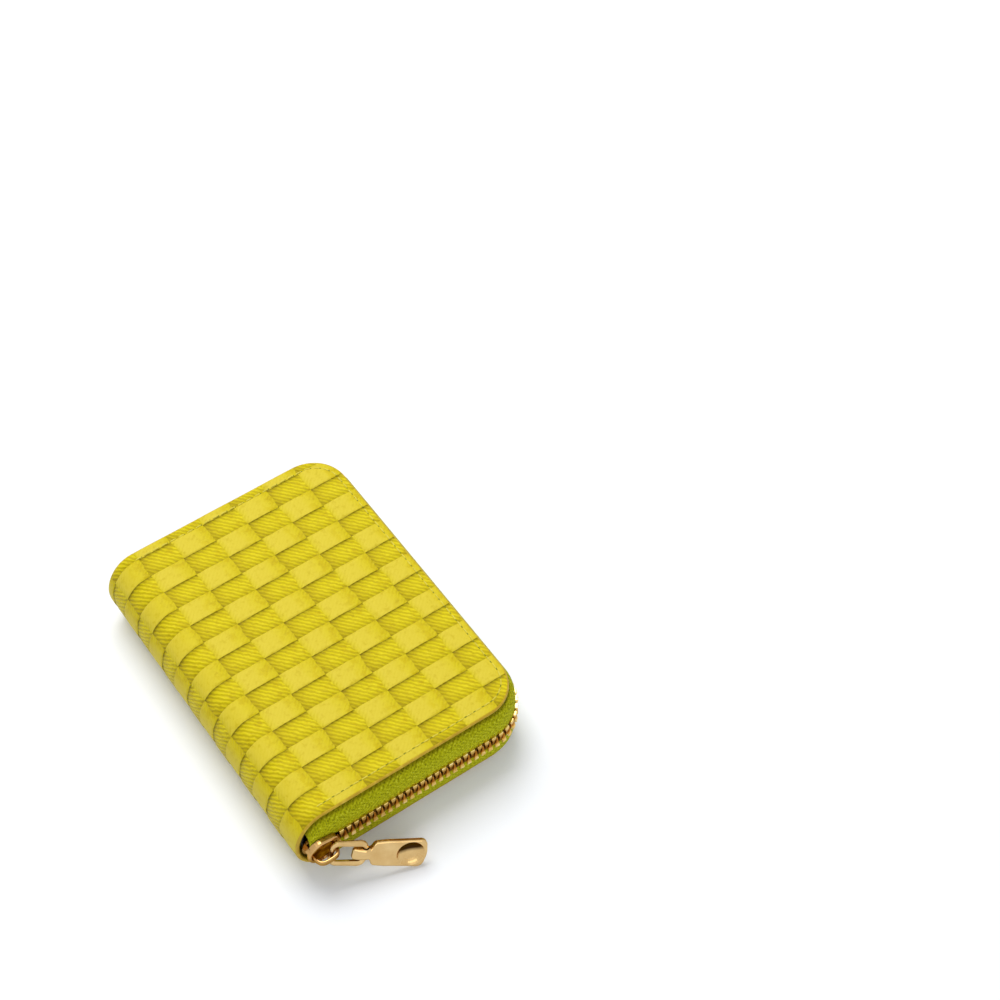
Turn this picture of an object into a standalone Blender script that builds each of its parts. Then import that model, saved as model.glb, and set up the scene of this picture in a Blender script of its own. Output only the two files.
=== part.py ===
# Zip-around card holder: two padded covers joined by a leather spine, closed on three sides
# by a metal zip, with an accordion of card pockets inside.
# Frame: metres, +Z up, closed and lying on its bottom cover. +X points to the short end that
# the slider rests at, +Y from the spine to the mouth. The origin is under the middle of the
# bottom cover, on the surface that it lies on.

import math

import bmesh
import bpy
from mathutils import Matrix, Vector

# Outer size of the closed holder
LENGTH = 0.110
WIDTH = 0.080
THICKNESS = 0.026
CORNER_RADIUS = 0.012
SPINE_DEPTH = 0.010

# Layers of one cover, from the outside in
LEATHER = 0.0016
BOARD = 0.0008
LINING = 0.0004
CLEARANCE = 0.0003
LEATHER_EDGE_ROUND = 0.0006
LINING_INSET = 0.0015

# Zip tape: tucked under the leather's edge, then bulging out to the teeth
TAPE = 0.0006
TAPE_TUCK = 0.005
TAPE_BULGE = 0.0016
TAPE_LEAVES_EDGE = 0.0008
TAPE_END_REACH = 0.006

# Zip teeth: each row hangs from a bead on its tape's edge
TOOTH_PITCH = 0.0025
TOOTH_BASE_WIDTH = 0.0014
TOOTH_TIP_WIDTH = 0.0005
TOOTH_THICKNESS = 0.0020
TOOTH_OVERREACH = 0.0013
TOOTH_ROOT = 0.0019
BEAD_HEIGHT = 0.0008
BEAD_THICKNESS = 0.0014
STOP_LENGTH = 0.0018

# Accordion of pockets
LEAF_COUNT = 10
LEAF = 0.0005
LEAF_END_MARGIN = 0.009
LEAF_ROOT_SETBACK = 0.007
LEAF_MOUTH_SETBACK = 0.011
LEAF_CORNER = 0.002
OUTER_POCKET = 0.0034
GUSSET = 0.0003
GUSSET_DEPTH_MOUTH = 0.0058
GUSSET_DEPTH_SPINE = 0.0034
GUSSET_HEM = 0.0045
GUSSET_END_SETBACK = 0.002
FLOOR_DEPTH = 0.0011

# Slider: two pear-shaped plates round the chain, joined by a diamond at the spine end. The
# outer plate has a raised rim, and a bail arched along it
SLIDER_LENGTH = 0.0104
SLIDER_HALF_WIDTH = 0.0048
SLIDER_TAIL_HALF_WIDTH = 0.0041
SLIDER_PLATE = 0.0007
SLIDER_FROM_SPINE = 0.0072
SLIDER_CORNER = 0.0022
SLIDER_EDGE_ROUND = 0.0005
SLIDER_RIM = 0.0004
SLIDER_RIM_WALL = 0.0009
DIAMOND_LENGTH = 0.003
DIAMOND_HALF_WIDTH = 0.0012
DIAMOND_SETBACK = 0.0006
BAIL_HALF_OPENING = 0.0032
BAIL_HALF_WIDTH = 0.0010
BAIL_STRIP = 0.0008
BAIL_SQUARENESS = 3.2

# Pull: a cast link through the bail, thinner at its two end bars, and a flat tab on its far bar
WIRE = 0.0016
LINK_BAR = 0.0021
LINK_FORWARD = 0.0012
LINK_LENGTH = 0.0099
LINK_HALF_WIDTH = 0.0035
LINK_NEAR_HALF_WIDTH = 0.0034
LINK_CORNER = 0.0018
PULL_DROOP = math.radians(19.5)
PULL_LIFT = math.radians(23.0)
PULL_ROLL = math.radians(14.0)
TAB_LENGTH = 0.0187
TAB_TAIL = 0.0037
TAB_NECK_HALF_WIDTH = 0.0019
TAB_SHOULDER_HALF_WIDTH = 0.0041
TAB_HALF_WIDTH = 0.0048
TAB_CORNER = 0.0020
TAB_END_BULGE = 0.0004
TAB_THICKNESS = 0.0016
TAB_EYE_WALL = 0.00035
DISH_RADIUS = 0.0042
DISH_DEPTH = 0.0011
DISH_FROM_END = 0.0050

# Steps of the round stretches
ARC_STEPS = 6
SPINE_STEPS = 20
WIRE_SIDES = 12
SHOULDER_STEPS = 16
BAIL_STEPS = 18
DISH_SIDES = 32

# Places that several pieces share
MID_Z = THICKNESS / 2
SPINE_Y = -WIDTH / 2
TANGENT_Y = SPINE_Y + SPINE_DEPTH
MOUTH_Y = WIDTH / 2
HALF_LENGTH = LENGTH / 2
TAPE_LAYER = LEATHER + CLEARANCE + TAPE / 2
LINING_OUTSIDE = LEATHER + BOARD + 2 * CLEARANCE
COVER = LINING_OUTSIDE + LINING
CHAIN_HALF = TOOTH_ROOT + BEAD_HEIGHT
TAPE_EDGE = CHAIN_HALF + CLEARANCE
CHAIN_FAR_REACH = 0.6 * TAPE_END_REACH
CHAIN_X = HALF_LENGTH + TAPE_BULGE
LEAF_END_X = HALF_LENGTH - LEAF_END_MARGIN
LEAF_ROOT_Y = SPINE_Y + LEAF_ROOT_SETBACK
LEAF_MOUTH_Y = MOUTH_Y - LEAF_MOUTH_SETBACK
HINGE = Vector((0.0, SPINE_Y, MID_Z))
SLIDER_Y = SPINE_Y + SLIDER_FROM_SPINE
SLIDER_PIVOT = Vector((CHAIN_X, SLIDER_Y, MID_Z))
CHANNEL_HALF = TOOTH_THICKNESS / 2 + CLEARANCE
PLATE_OUTSIDE = CHANNEL_HALF + SLIDER_PLATE
BAR_TILT = LINK_NEAR_HALF_WIDTH * math.sin(PULL_ROLL)
BAR_HEIGHT = PLATE_OUTSIDE + SLIDER_RIM + BAR_TILT + WIRE / 2
LINK_PIVOT = SLIDER_PIVOT + Vector((BAR_HEIGHT, LINK_FORWARD, 0.0))


def material(name, colour, roughness, metallic=0.0):
    """A plain Principled material in the part's own colour."""
    made = bpy.data.materials.new(name)
    made.use_nodes = True
    shader = made.node_tree.nodes["Principled BSDF"]
    shader.inputs["Base Color"].default_value = (*colour, 1.0)
    shader.inputs["Roughness"].default_value = roughness
    shader.inputs["Metallic"].default_value = metallic
    made.diffuse_color = (*colour, 1.0)
    return made


def face_outwards(data):
    """Turn every face of a closed mesh outwards."""
    data.normal_update()
    bmesh.ops.recalc_face_normals(data, faces=data.faces)


def node(name, mesh_data, finish, pivot=Vector(), parent=None):
    """Make an object whose origin is at pivot. mesh_data is in world places."""
    face_outwards(mesh_data)
    bmesh.ops.translate(mesh_data, verts=mesh_data.verts, vec=-pivot)
    return local_node(name, mesh_data, finish, pivot, parent)


def local_node(name, mesh_data, finish, place, parent=None, turn=None):
    """Make an object from a mesh that is already round its own origin."""
    mesh = bpy.data.meshes.new(name)
    mesh_data.to_mesh(mesh)
    mesh_data.free()
    mesh.shade_smooth()
    mesh.set_sharp_from_angle(angle=math.radians(35))
    mesh.materials.append(finish)
    made = bpy.data.objects.new(name, mesh)
    bpy.context.scene.collection.objects.link(made)
    world = Matrix.Translation(place)
    if turn is not None:
        world = world @ turn.to_4x4()
    if parent is None:
        made.matrix_world = world
    else:
        bpy.context.view_layer.update()
        made.parent = parent
        made.matrix_local = parent.matrix_world.inverted() @ world
    return made


def cutter(name, mesh_data, target, operation="DIFFERENCE"):
    """Cut a hidden mesh out of target, or join it on, with a Boolean modifier."""
    face_outwards(mesh_data)
    mesh = bpy.data.meshes.new(name)
    mesh_data.to_mesh(mesh)
    mesh_data.free()
    made = bpy.data.objects.new(name, mesh)
    bpy.context.scene.collection.objects.link(made)
    made.matrix_world = target.matrix_world
    made.hide_render = True
    made.display_type = "WIRE"
    change = target.modifiers.new(name, "BOOLEAN")
    change.object = made
    change.operation = operation
    return made


def prism(outline, low, high, axis=2):
    """Extrude a closed outline of (a, b) points between low and high along an axis."""
    data = bmesh.new()
    places = {0: lambda a, b, h: (h, a, b), 1: lambda a, b, h: (a, h, b), 2: lambda a, b, h: (a, b, h)}
    place = places[axis]
    bottom = [data.verts.new(place(a, b, low)) for a, b in outline]
    top = [data.verts.new(place(a, b, high)) for a, b in outline]
    data.faces.new(bottom)
    data.faces.new(top)
    for i in range(len(outline)):
        j = (i + 1) % len(outline)
        data.faces.new((bottom[i], bottom[j], top[j], top[i]))
    return data


def loft(rings, closed=False):
    """Join rings of equal length into a skin, capped at both ends unless it closes on itself."""
    data = bmesh.new()
    rows = [[data.verts.new(point) for point in ring] for ring in rings]
    count = len(rows[0])
    pairs = list(zip(rows, rows[1:]))
    if closed:
        pairs.append((rows[-1], rows[0]))
    for first, second in pairs:
        for i in range(count):
            j = (i + 1) % count
            data.faces.new((first[i], first[j], second[j], second[i]))
    if not closed:
        data.faces.new(rows[0])
        data.faces.new(rows[-1])
    return data


def flip_z(data):
    """Turn a bottom piece into its top twin by mirroring it in the middle plane."""
    for vert in data.verts:
        vert.co.z = THICKNESS - vert.co.z
    return data


def cover_outline(inset, spine_edge):
    """A cover's outline, round at its two mouth corners and straight at the spine."""
    radius = max(CORNER_RADIUS - inset, 0.001)
    x_edge = HALF_LENGTH - inset
    y_edge = MOUTH_Y - inset
    points = [(x_edge, spine_edge)]
    for side in (1, -1):
        for step in range(ARC_STEPS + 1):
            turn = math.pi / 2 * step / ARC_STEPS
            if side < 0:
                turn = math.pi / 2 - turn
            x = x_edge - radius + radius * math.cos(turn)
            points.append((side * x, y_edge - radius + radius * math.sin(turn)))
    points.append((-x_edge, spine_edge))
    return points


def leather_panel():
    """The bottom cover's leather, with its turned edge rounded on the outside."""
    data = prism(cover_outline(0.0, TANGENT_Y + CLEARANCE), 0.0, LEATHER)
    rim = []
    for edge in data.edges:
        ends = [vert.co for vert in edge.verts]
        on_outside = all(abs(end.z) < 1e-6 for end in ends)
        at_spine = all(abs(end.y - TANGENT_Y - CLEARANCE) < 1e-6 for end in ends)
        if on_outside and not at_spine:
            rim.append(edge)
    bmesh.ops.bevel(data, geom=rim, offset=LEATHER_EDGE_ROUND, segments=2, profile=0.5, affect="EDGES")
    return data


def board_panel():
    """The stiffener between leather and lining, inside the tape's tuck."""
    low = LEATHER + CLEARANCE
    return prism(cover_outline(TAPE_TUCK + CLEARANCE, TANGENT_Y + CLEARANCE), low, low + BOARD)


def lining_panel():
    """The dark cloth on the inside of one cover."""
    return prism(cover_outline(LINING_INSET, TANGENT_Y + CLEARANCE), LINING_OUTSIDE, COVER)


def spine_shell(outside, wall, half_length):
    """A layer of the spine: half an elliptic tube whose outer face lies outside deep."""
    rings = []
    for depth in (outside, outside + wall):
        ring = []
        for step in range(SPINE_STEPS + 1):
            turn = -math.pi / 2 + math.pi * step / SPINE_STEPS
            y = TANGENT_Y - (SPINE_DEPTH - depth) * math.cos(turn)
            z = MID_Z + (MID_Z - depth) * math.sin(turn)
            ring.append((y, z))
        rings.append(ring)
    outline = rings[0] + rings[1][::-1]
    return prism(outline, -half_length, half_length, axis=0)


def path_length():
    """Length of the zip's line of teeth, from the near spine end to the far one."""
    straight = MOUTH_Y - CORNER_RADIUS - TANGENT_Y
    corner = math.pi / 2 * (CORNER_RADIUS + TAPE_BULGE)
    return 2 * straight + 2 * corner + LENGTH - 2 * CORNER_RADIUS


def path_frame(along):
    """The zip's line at a distance from the near spine end: a point on the covers' outline
    and the way out of the holder there."""
    straight = MOUTH_Y - CORNER_RADIUS - TANGENT_Y
    corner = math.pi / 2 * (CORNER_RADIUS + TAPE_BULGE)
    mouth = LENGTH - 2 * CORNER_RADIUS
    if along <= straight:
        return Vector((HALF_LENGTH, TANGENT_Y + along, 0.0)), Vector((1.0, 0.0, 0.0))
    if along <= straight + corner:
        turn = (along - straight) / (CORNER_RADIUS + TAPE_BULGE)
        out = Vector((math.cos(turn), math.sin(turn), 0.0))
        centre = Vector((HALF_LENGTH - CORNER_RADIUS, MOUTH_Y - CORNER_RADIUS, 0.0))
        return centre + out * CORNER_RADIUS, out
    if along <= straight + corner + mouth:
        x = HALF_LENGTH - CORNER_RADIUS - (along - straight - corner)
        return Vector((x, MOUTH_Y, 0.0)), Vector((0.0, 1.0, 0.0))
    point, out = path_frame(path_length() - along)
    return Vector((-point.x, point.y, 0.0)), Vector((-out.x, out.y, 0.0))


def path_stations(first, last):
    """Distances along the zip's line where a swept piece needs a section."""
    straight = MOUTH_Y - CORNER_RADIUS - TANGENT_Y
    corner = math.pi / 2 * (CORNER_RADIUS + TAPE_BULGE)
    marks = []
    for step in range(ARC_STEPS + 1):
        marks.append(straight + corner * step / ARC_STEPS)
    marks += [path_length() - mark for mark in reversed(marks)]
    ends = [0.0, -0.4 * TAPE_END_REACH, -0.75 * TAPE_END_REACH, -TAPE_END_REACH]
    near = [mark for mark in reversed(ends) if mark >= first]
    far = [path_length() - mark for mark in ends if path_length() - mark <= last]
    return near + marks + far


def tape_tuck_height(y):
    """Height of the tape's middle in its layer, which follows the spine's curve past the covers."""
    if y >= TANGENT_Y:
        return TAPE_LAYER
    depth = SPINE_DEPTH - TAPE_LAYER
    share = min((TANGENT_Y - y) / depth, 0.95)
    return MID_Z - (MID_Z - TAPE_LAYER) * math.sqrt(1 - share * share)


def tape_section(y):
    """The tape's middle line in (out, up), from its tucked edge to its edge at the teeth."""
    tuck = tape_tuck_height(y)
    top = MID_Z - TAPE_EDGE
    rise = top - tuck
    return [
        (-TAPE_TUCK, tuck),
        (-TAPE_LEAVES_EDGE, tuck),
        (0.45 * TAPE_BULGE, tuck + 0.12 * rise),
        (0.85 * TAPE_BULGE, tuck + 0.34 * rise),
        (TAPE_BULGE, tuck + 0.66 * rise),
        (TAPE_BULGE, top),
    ]


def thicken(line, thickness):
    """A closed outline round a line of (a, b) points."""
    left = []
    right = []
    for i, (a, b) in enumerate(line):
        before = Vector(line[max(i - 1, 0)])
        after = Vector(line[min(i + 1, len(line) - 1)])
        way = (after - before).normalized()
        side = Vector((-way.y, way.x)) * thickness / 2
        left.append((a + side.x, b + side.y))
        right.append((a - side.x, b - side.y))
    return left + right[::-1]


def zip_tape():
    """The lower tape, swept round the three open sides."""
    rings = []
    for along in path_stations(-TAPE_END_REACH, path_length() + TAPE_END_REACH):
        point, out = path_frame(along)
        section = thicken(tape_section(point.y), TAPE)
        rings.append([point + out * a + Vector((0.0, 0.0, b)) for a, b in section])
    return loft(rings)


def tooth_rows(diamond_end, slider_end, last):
    """Distances along the zip's line of the teeth, in the lower row and in the upper row. The
    upper row starts at the slider's tail, and the lower one, half a pitch aside, in its channel."""
    half = TOOTH_BASE_WIDTH / 2
    upper_first = slider_end + half
    spare = upper_first - TOOTH_PITCH / 2 - (diamond_end + half)
    lower_first = upper_first - TOOTH_PITCH / 2 - TOOTH_PITCH * math.floor(spare / TOOTH_PITCH)
    rows = []
    for first in (lower_first, upper_first):
        count = math.floor((last - half - first) / TOOTH_PITCH) + 1
        rows.append([first + i * TOOTH_PITCH for i in range(count)])
    return rows


def zip_teeth(places, side):
    """One row of teeth on its bead. side is 1 for the row that hangs from the upper tape."""
    data = bmesh.new()

    def corners(along, height, half_thickness):
        point, out = path_frame(along)
        middle = point + out * TAPE_BULGE + Vector((0.0, 0.0, MID_Z + side * height))
        return data.verts.new(middle + out * half_thickness), data.verts.new(middle - out * half_thickness)

    def wall(pairs):
        for (a, b), (c, d) in zip(pairs, pairs[1:]):
            data.faces.new((a, b, d, c))

    half_base = TOOTH_BASE_WIDTH / 2
    half_tip = TOOTH_TIP_WIDTH / 2
    back = []
    front = []
    teeth = []
    for place in places:
        for edge in (place - half_base, place + half_base):
            back.append(corners(edge, CHAIN_HALF, BEAD_THICKNESS / 2))
            front.append(corners(edge, TOOTH_ROOT, TOOTH_THICKNESS / 2))
        tips = [corners(place + way * half_tip, -TOOTH_OVERREACH, TOOTH_THICKNESS / 2) for way in (-1, 1)]
        teeth.append(tips)
    wall(back)
    for i, tips in enumerate(teeth):
        base = front[2 * i:2 * i + 2]
        wall([base[0], tips[0], tips[1], base[1]])
        data.faces.new((base[0][0], base[1][0], tips[1][0], tips[0][0]))
        data.faces.new((base[0][1], base[1][1], tips[1][1], tips[0][1]))
        if i + 1 < len(teeth):
            wall(front[2 * i + 1:2 * i + 3])
    for k in range(len(back) - 1):
        for face in (0, 1):
            data.faces.new((back[k][face], back[k + 1][face], front[k + 1][face], front[k][face]))
    for k in (0, -1):
        data.faces.new((back[k][0], back[k][1], front[k][1], front[k][0]))
    return data


def zip_stop(start, side):
    """A small crimped block on the tape's edge, past the last tooth at the far spine end."""
    point, out = path_frame(start)
    x_mid = point.x + out.x * TAPE_BULGE
    low = MID_Z + side * CLEARANCE
    high = MID_Z + side * CHAIN_HALF
    half = TOOTH_THICKNESS / 2
    data = box((x_mid - half, point.y - STOP_LENGTH, min(low, high)), (x_mid + half, point.y, max(low, high)))
    bmesh.ops.bevel(data, geom=data.edges[:], offset=CLEARANCE, segments=1, affect="EDGES")
    return data


def leaf_heights():
    """Middle height of each pocket leaf in the closed holder."""
    low = COVER + OUTER_POCKET
    step = (THICKNESS - 2 * low) / (LEAF_COUNT - 1)
    return [low + i * step for i in range(LEAF_COUNT)]


def leaf_panel(height):
    """One divider of the accordion, round at its two mouth corners."""
    outline = [(LEAF_END_X, LEAF_ROOT_Y)]
    for side in (1, -1):
        for step in range(4):
            turn = math.pi / 2 * step / 3
            if side < 0:
                turn = math.pi / 2 - turn
            x = LEAF_END_X - LEAF_CORNER + LEAF_CORNER * math.cos(turn)
            outline.append((side * x, LEAF_MOUTH_Y - LEAF_CORNER + LEAF_CORNER * math.sin(turn)))
    outline.append((-LEAF_END_X, LEAF_ROOT_Y))
    return prism(outline, height - LEAF / 2, height + LEAF / 2)


def pleat_line(valley, depth):
    """Zigzag of an end gusset in (out, up): hems on both linings and a valley at each leaf."""
    hem_height = COVER + CLEARANCE + GUSSET / 2
    heights = leaf_heights()
    tip = valley + depth
    hem = min(GUSSET_HEM, 0.8 * depth)
    line = [(tip - hem, hem_height), (tip, hem_height)]
    for i, height in enumerate(heights):
        line.append((valley, height))
        if i + 1 < len(heights):
            line.append((tip, (height + heights[i + 1]) / 2))
    line += [(tip, THICKNESS - hem_height), (tip - hem, THICKNESS - hem_height)]
    return line


def folded_sheet(line, thickness):
    """A closed outline of a sheet folded back and forth along a rising line of (a, b) points."""
    half = thickness / 2
    slopes = [abs((d - b) / (c - a)) for (a, b), (c, d) in zip(line, line[1:])]
    heading = 1 if line[1][0] > line[0][0] else -1
    right = [(line[0][0], line[0][1] - heading * half)]
    left = [(line[0][0], line[0][1] + heading * half)]
    for i, (a, b) in enumerate(line[1:-1]):
        inward = thickness / (slopes[i] + slopes[i + 1])
        blunt = [(a, b - half), (a, b + half)]
        crotch = [(a - heading * inward, b - slopes[i] * inward + half)]
        right += blunt if heading > 0 else crotch
        left += crotch if heading > 0 else blunt
        heading = -heading
    right.append((line[-1][0], line[-1][1] - heading * half))
    left.append((line[-1][0], line[-1][1] + heading * half))
    return right + left[::-1]


def end_gusset(side):
    """The pleated cloth that joins the leaves at one short end, deeper towards the mouth."""
    rings = []
    spans = [
        (LEAF_ROOT_Y + GUSSET_END_SETBACK, GUSSET_DEPTH_SPINE),
        (LEAF_MOUTH_Y - GUSSET_END_SETBACK, GUSSET_DEPTH_MOUTH),
    ]
    for y, depth in spans:
        section = folded_sheet(pleat_line(LEAF_END_X + CLEARANCE, depth), GUSSET)
        rings.append([(side * x, y, z) for x, z in section])
    return loft(rings)


def accordion_floor():
    """The folded cloth that closes the pockets at the spine."""
    heights = leaf_heights()
    root = LEAF_ROOT_Y - CLEARANCE
    line = []
    for i, height in enumerate(heights):
        line.append((root, height))
        if i + 1 < len(heights):
            line.append((root - FLOOR_DEPTH, (height + heights[i + 1]) / 2))
    section = folded_sheet(line, GUSSET)
    half = LEAF_END_X - CLEARANCE
    return prism(section, -half, half, axis=0)


def rounded_rectangle(half_a, half_b, radius, steps=4):
    """A closed rectangle with round corners, as (a, b) points round the origin."""
    points = []
    for quarter in range(4):
        centre_a = (half_a - radius) * (1 if quarter in (0, 3) else -1)
        centre_b = (half_b - radius) * (1 if quarter in (0, 1) else -1)
        for step in range(steps + 1):
            turn = math.pi / 2 * (quarter + step / steps)
            points.append((centre_a + radius * math.cos(turn), centre_b + radius * math.sin(turn)))
    return points


def box(low, high):
    """A closed box between two corners."""
    outline = [(low[0], low[1]), (high[0], low[1]), (high[0], high[1]), (low[0], high[1])]
    return prism(outline, low[2], high[2])


def slider_outline(inset):
    """The plates' outline in (along, up): a round shoulder, then a taper to the tail."""
    middle = SLIDER_HALF_WIDTH - SLIDER_LENGTH / 2
    end = SLIDER_LENGTH / 2 - inset
    tail = SLIDER_TAIL_HALF_WIDTH - inset
    corner = SLIDER_CORNER - inset
    points = []
    for side in (-1, 1):
        for step in range(6):
            turn = math.pi / 2 * (step / 5 if side > 0 else step / 5 - 1)
            points.append((end - corner + corner * math.cos(turn), side * (tail - corner) + corner * math.sin(turn)))
    for step in range(SHOULDER_STEPS + 1):
        turn = math.pi * (0.5 + step / SHOULDER_STEPS)
        radius = SLIDER_HALF_WIDTH - inset
        points.append((middle + radius * math.cos(turn), radius * math.sin(turn)))
    return points


def slider_skin(steps):
    """A closed body through the plates' outline at each (out, inset) step."""
    return loft([[Vector((x, y, z)) for y, z in slider_outline(inset)] for x, inset in steps])


def rounded_section(half_width, half_thick, soft):
    """Twelve points round a flat bar's section, its corners rounded off."""
    bend = soft * (1 - math.sqrt(0.5))
    quarter = [(half_width, half_thick - soft), (half_width - bend, half_thick - bend), (half_width - soft, half_thick)]
    half = quarter + [(-a, b) for a, b in reversed(quarter)]
    return half + [(-a, -b) for a, b in half]


def bail():
    """A strip arched along the slider over the link's bar, narrower at its feet."""
    foot = PLATE_OUTSIDE - SLIDER_PLATE / 2
    tilt = BAIL_HALF_WIDTH * math.sin(PULL_ROLL)
    rise = BAR_HEIGHT + WIRE / 2 + tilt + CLEARANCE - foot
    power = 2 / BAIL_SQUARENESS
    rings = []
    for step in range(BAIL_STEPS + 1):
        turn = math.pi * step / BAIL_STEPS
        run = math.copysign(abs(math.cos(turn)) ** power, math.cos(turn))
        lift = abs(math.sin(turn)) ** power
        inner = Vector((foot + rise * lift, BAIL_HALF_OPENING * run))
        outer = Vector((foot + (rise + BAIL_STRIP) * lift, (BAIL_HALF_OPENING + BAIL_STRIP) * run))
        half_width = BAIL_HALF_WIDTH * (0.75 + 0.25 * lift)
        ring = []
        for across, through in rounded_section(half_width, BAIL_STRIP / 2, 0.4 * BAIL_STRIP):
            spot = inner.lerp(outer, 0.5 + through / BAIL_STRIP)
            ring.append(Vector((spot.x, spot.y, across)))
        rings.append(ring)
    return loft(rings)


def slider_body(finish):
    """The slider, with the chain's channel, the tapes' slot, the diamond, the rim and the bail."""
    face = PLATE_OUTSIDE + SLIDER_RIM
    edge = SLIDER_EDGE_ROUND
    bend = edge * (1 - math.sqrt(0.5))
    steps = [(edge, 0.0), (bend, bend), (0.0, edge)]
    skin = [(-PLATE_OUTSIDE + drop, inset) for inset, drop in steps]
    skin += [(face - drop, inset) for inset, drop in reversed(steps)]
    data = slider_skin(skin)
    face_outwards(data)
    slider = local_node("zip_slider", data, finish, SLIDER_PIVOT)

    wall = SLIDER_RIM_WALL
    cutter("slider_recess", slider_skin([(PLATE_OUTSIDE, wall + 0.6 * SLIDER_RIM), (face, wall), (2 * face, wall)]), slider)

    reach = SLIDER_LENGTH
    chain = CHAIN_HALF + 2 * CLEARANCE
    slot = TAPE / 2 + CLEARANCE
    cross = [
        (chain, -CHANNEL_HALF), (chain, -slot), (reach, -slot), (reach, slot),
        (chain, slot), (chain, CHANNEL_HALF), (-chain, CHANNEL_HALF), (-chain, slot),
        (-reach, slot), (-reach, -slot), (-chain, -slot), (-chain, -CHANNEL_HALF),
    ]
    cutter("slider_channel", prism([(x, z) for z, x in cross], -reach, reach, axis=1), slider)

    back = -SLIDER_LENGTH / 2 + DIAMOND_SETBACK
    middle = CHANNEL_HALF + SLIDER_PLATE / 2
    diamond = [
        (back, 0.0),
        (back + DIAMOND_LENGTH * 0.35, -DIAMOND_HALF_WIDTH),
        (back + DIAMOND_LENGTH, 0.0),
        (back + DIAMOND_LENGTH * 0.35, DIAMOND_HALF_WIDTH),
    ]
    cutter("slider_diamond", prism(diamond, -middle, middle, axis=0), slider, "UNION")
    cutter("slider_bail", bail(), slider, "UNION")
    return slider


def pull_turn():
    """Axes of the pull at rest: along it, along its bars, and out of its face."""
    upright = Vector((0.0, math.sin(PULL_DROOP), math.cos(PULL_DROOP)))
    flat = Vector((0.0, math.cos(PULL_DROOP), -math.sin(PULL_DROOP)))
    along = flat * math.cos(PULL_LIFT) + Vector((1.0, 0.0, 0.0)) * math.sin(PULL_LIFT)
    bars = upright * math.cos(PULL_ROLL) - along.cross(upright) * math.sin(PULL_ROLL)
    return Matrix((along, bars, along.cross(bars))).transposed()


def pull_link(finish, slider):
    """A closed loop from the bar in the bail to the bar in the tab, with stouter side bars."""
    centre = LINK_LENGTH / 2
    line = []
    for a, b in rounded_rectangle(LINK_LENGTH / 2, LINK_HALF_WIDTH, LINK_CORNER, steps=6):
        share = 0.5 + a / LINK_LENGTH
        line.append((a, b * (share + (1 - share) * LINK_NEAR_HALF_WIDTH / LINK_HALF_WIDTH)))
    swell = (LINK_BAR - WIRE) / 2
    rings = []
    for i, (a, b) in enumerate(line):
        before = Vector(line[i - 1])
        after = Vector(line[(i + 1) % len(line)])
        way = (after - before).normalized()
        out = Vector((way.y, -way.x, 0.0))
        radius = WIRE / 2 + swell * way.x ** 2 * (0.5 + a / LINK_LENGTH)
        middle = Vector((a + centre, b, 0.0))
        ring = []
        for k in range(WIRE_SIDES):
            turn = 2 * math.pi * k / WIRE_SIDES
            ring.append(middle + (out * math.cos(turn) + Vector((0.0, 0.0, 1.0)) * math.sin(turn)) * radius)
        rings.append(ring)
    data = loft(rings, closed=True)
    face_outwards(data)
    return local_node("pull_link", data, finish, LINK_PIVOT, slider, pull_turn())


def tab_stations():
    """Half width and half thickness of the tab at distances from its eye."""
    eye = WIRE / 2 + CLEARANCE + TAB_EYE_WALL
    flat = TAB_THICKNESS / 2
    thick = (flat + eye) / 2
    neck = TAB_NECK_HALF_WIDTH
    shoulder = TAB_SHOULDER_HALF_WIDTH
    flare = TAB_HALF_WIDTH - shoulder
    rows = [(-TAB_TAIL, neck - 0.0005, 0.55 * flat), (0.0003 - TAB_TAIL, neck - 0.0001, 0.85 * flat)]
    rows += [(-0.6 * TAB_TAIL, neck, thick), (0.0, neck, eye), (0.38 * TAB_TAIL, neck, thick)]
    rows += [(0.5 * TAB_TAIL, neck + 0.25 * (shoulder - neck), (flat + thick) / 2)]
    rows += [(0.63 * TAB_TAIL, neck + 0.75 * (shoulder - neck), 1.1 * flat), (0.78 * TAB_TAIL, shoulder, flat)]
    for share, spread in ((0.24, 0.3), (0.35, 0.55), (0.62, 0.72), (0.78, 0.88)):
        rows.append((share * TAB_LENGTH, shoulder + spread * flare, flat))
    start = TAB_LENGTH - TAB_END_BULGE - TAB_CORNER
    for step in range(7):
        turn = math.pi / 2 * step / 6
        across = TAB_HALF_WIDTH - TAB_CORNER + TAB_CORNER * math.cos(turn)
        rows.append((start + TAB_CORNER * math.sin(turn), across, flat * (1 if step < 4 else 0.95)))
    rows.append((TAB_LENGTH - 0.4 * TAB_END_BULGE, 0.62 * (TAB_HALF_WIDTH - TAB_CORNER), 0.85 * flat))
    rows.append((TAB_LENGTH, 0.3 * (TAB_HALF_WIDTH - TAB_CORNER), 0.7 * flat))
    return rows


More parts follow.
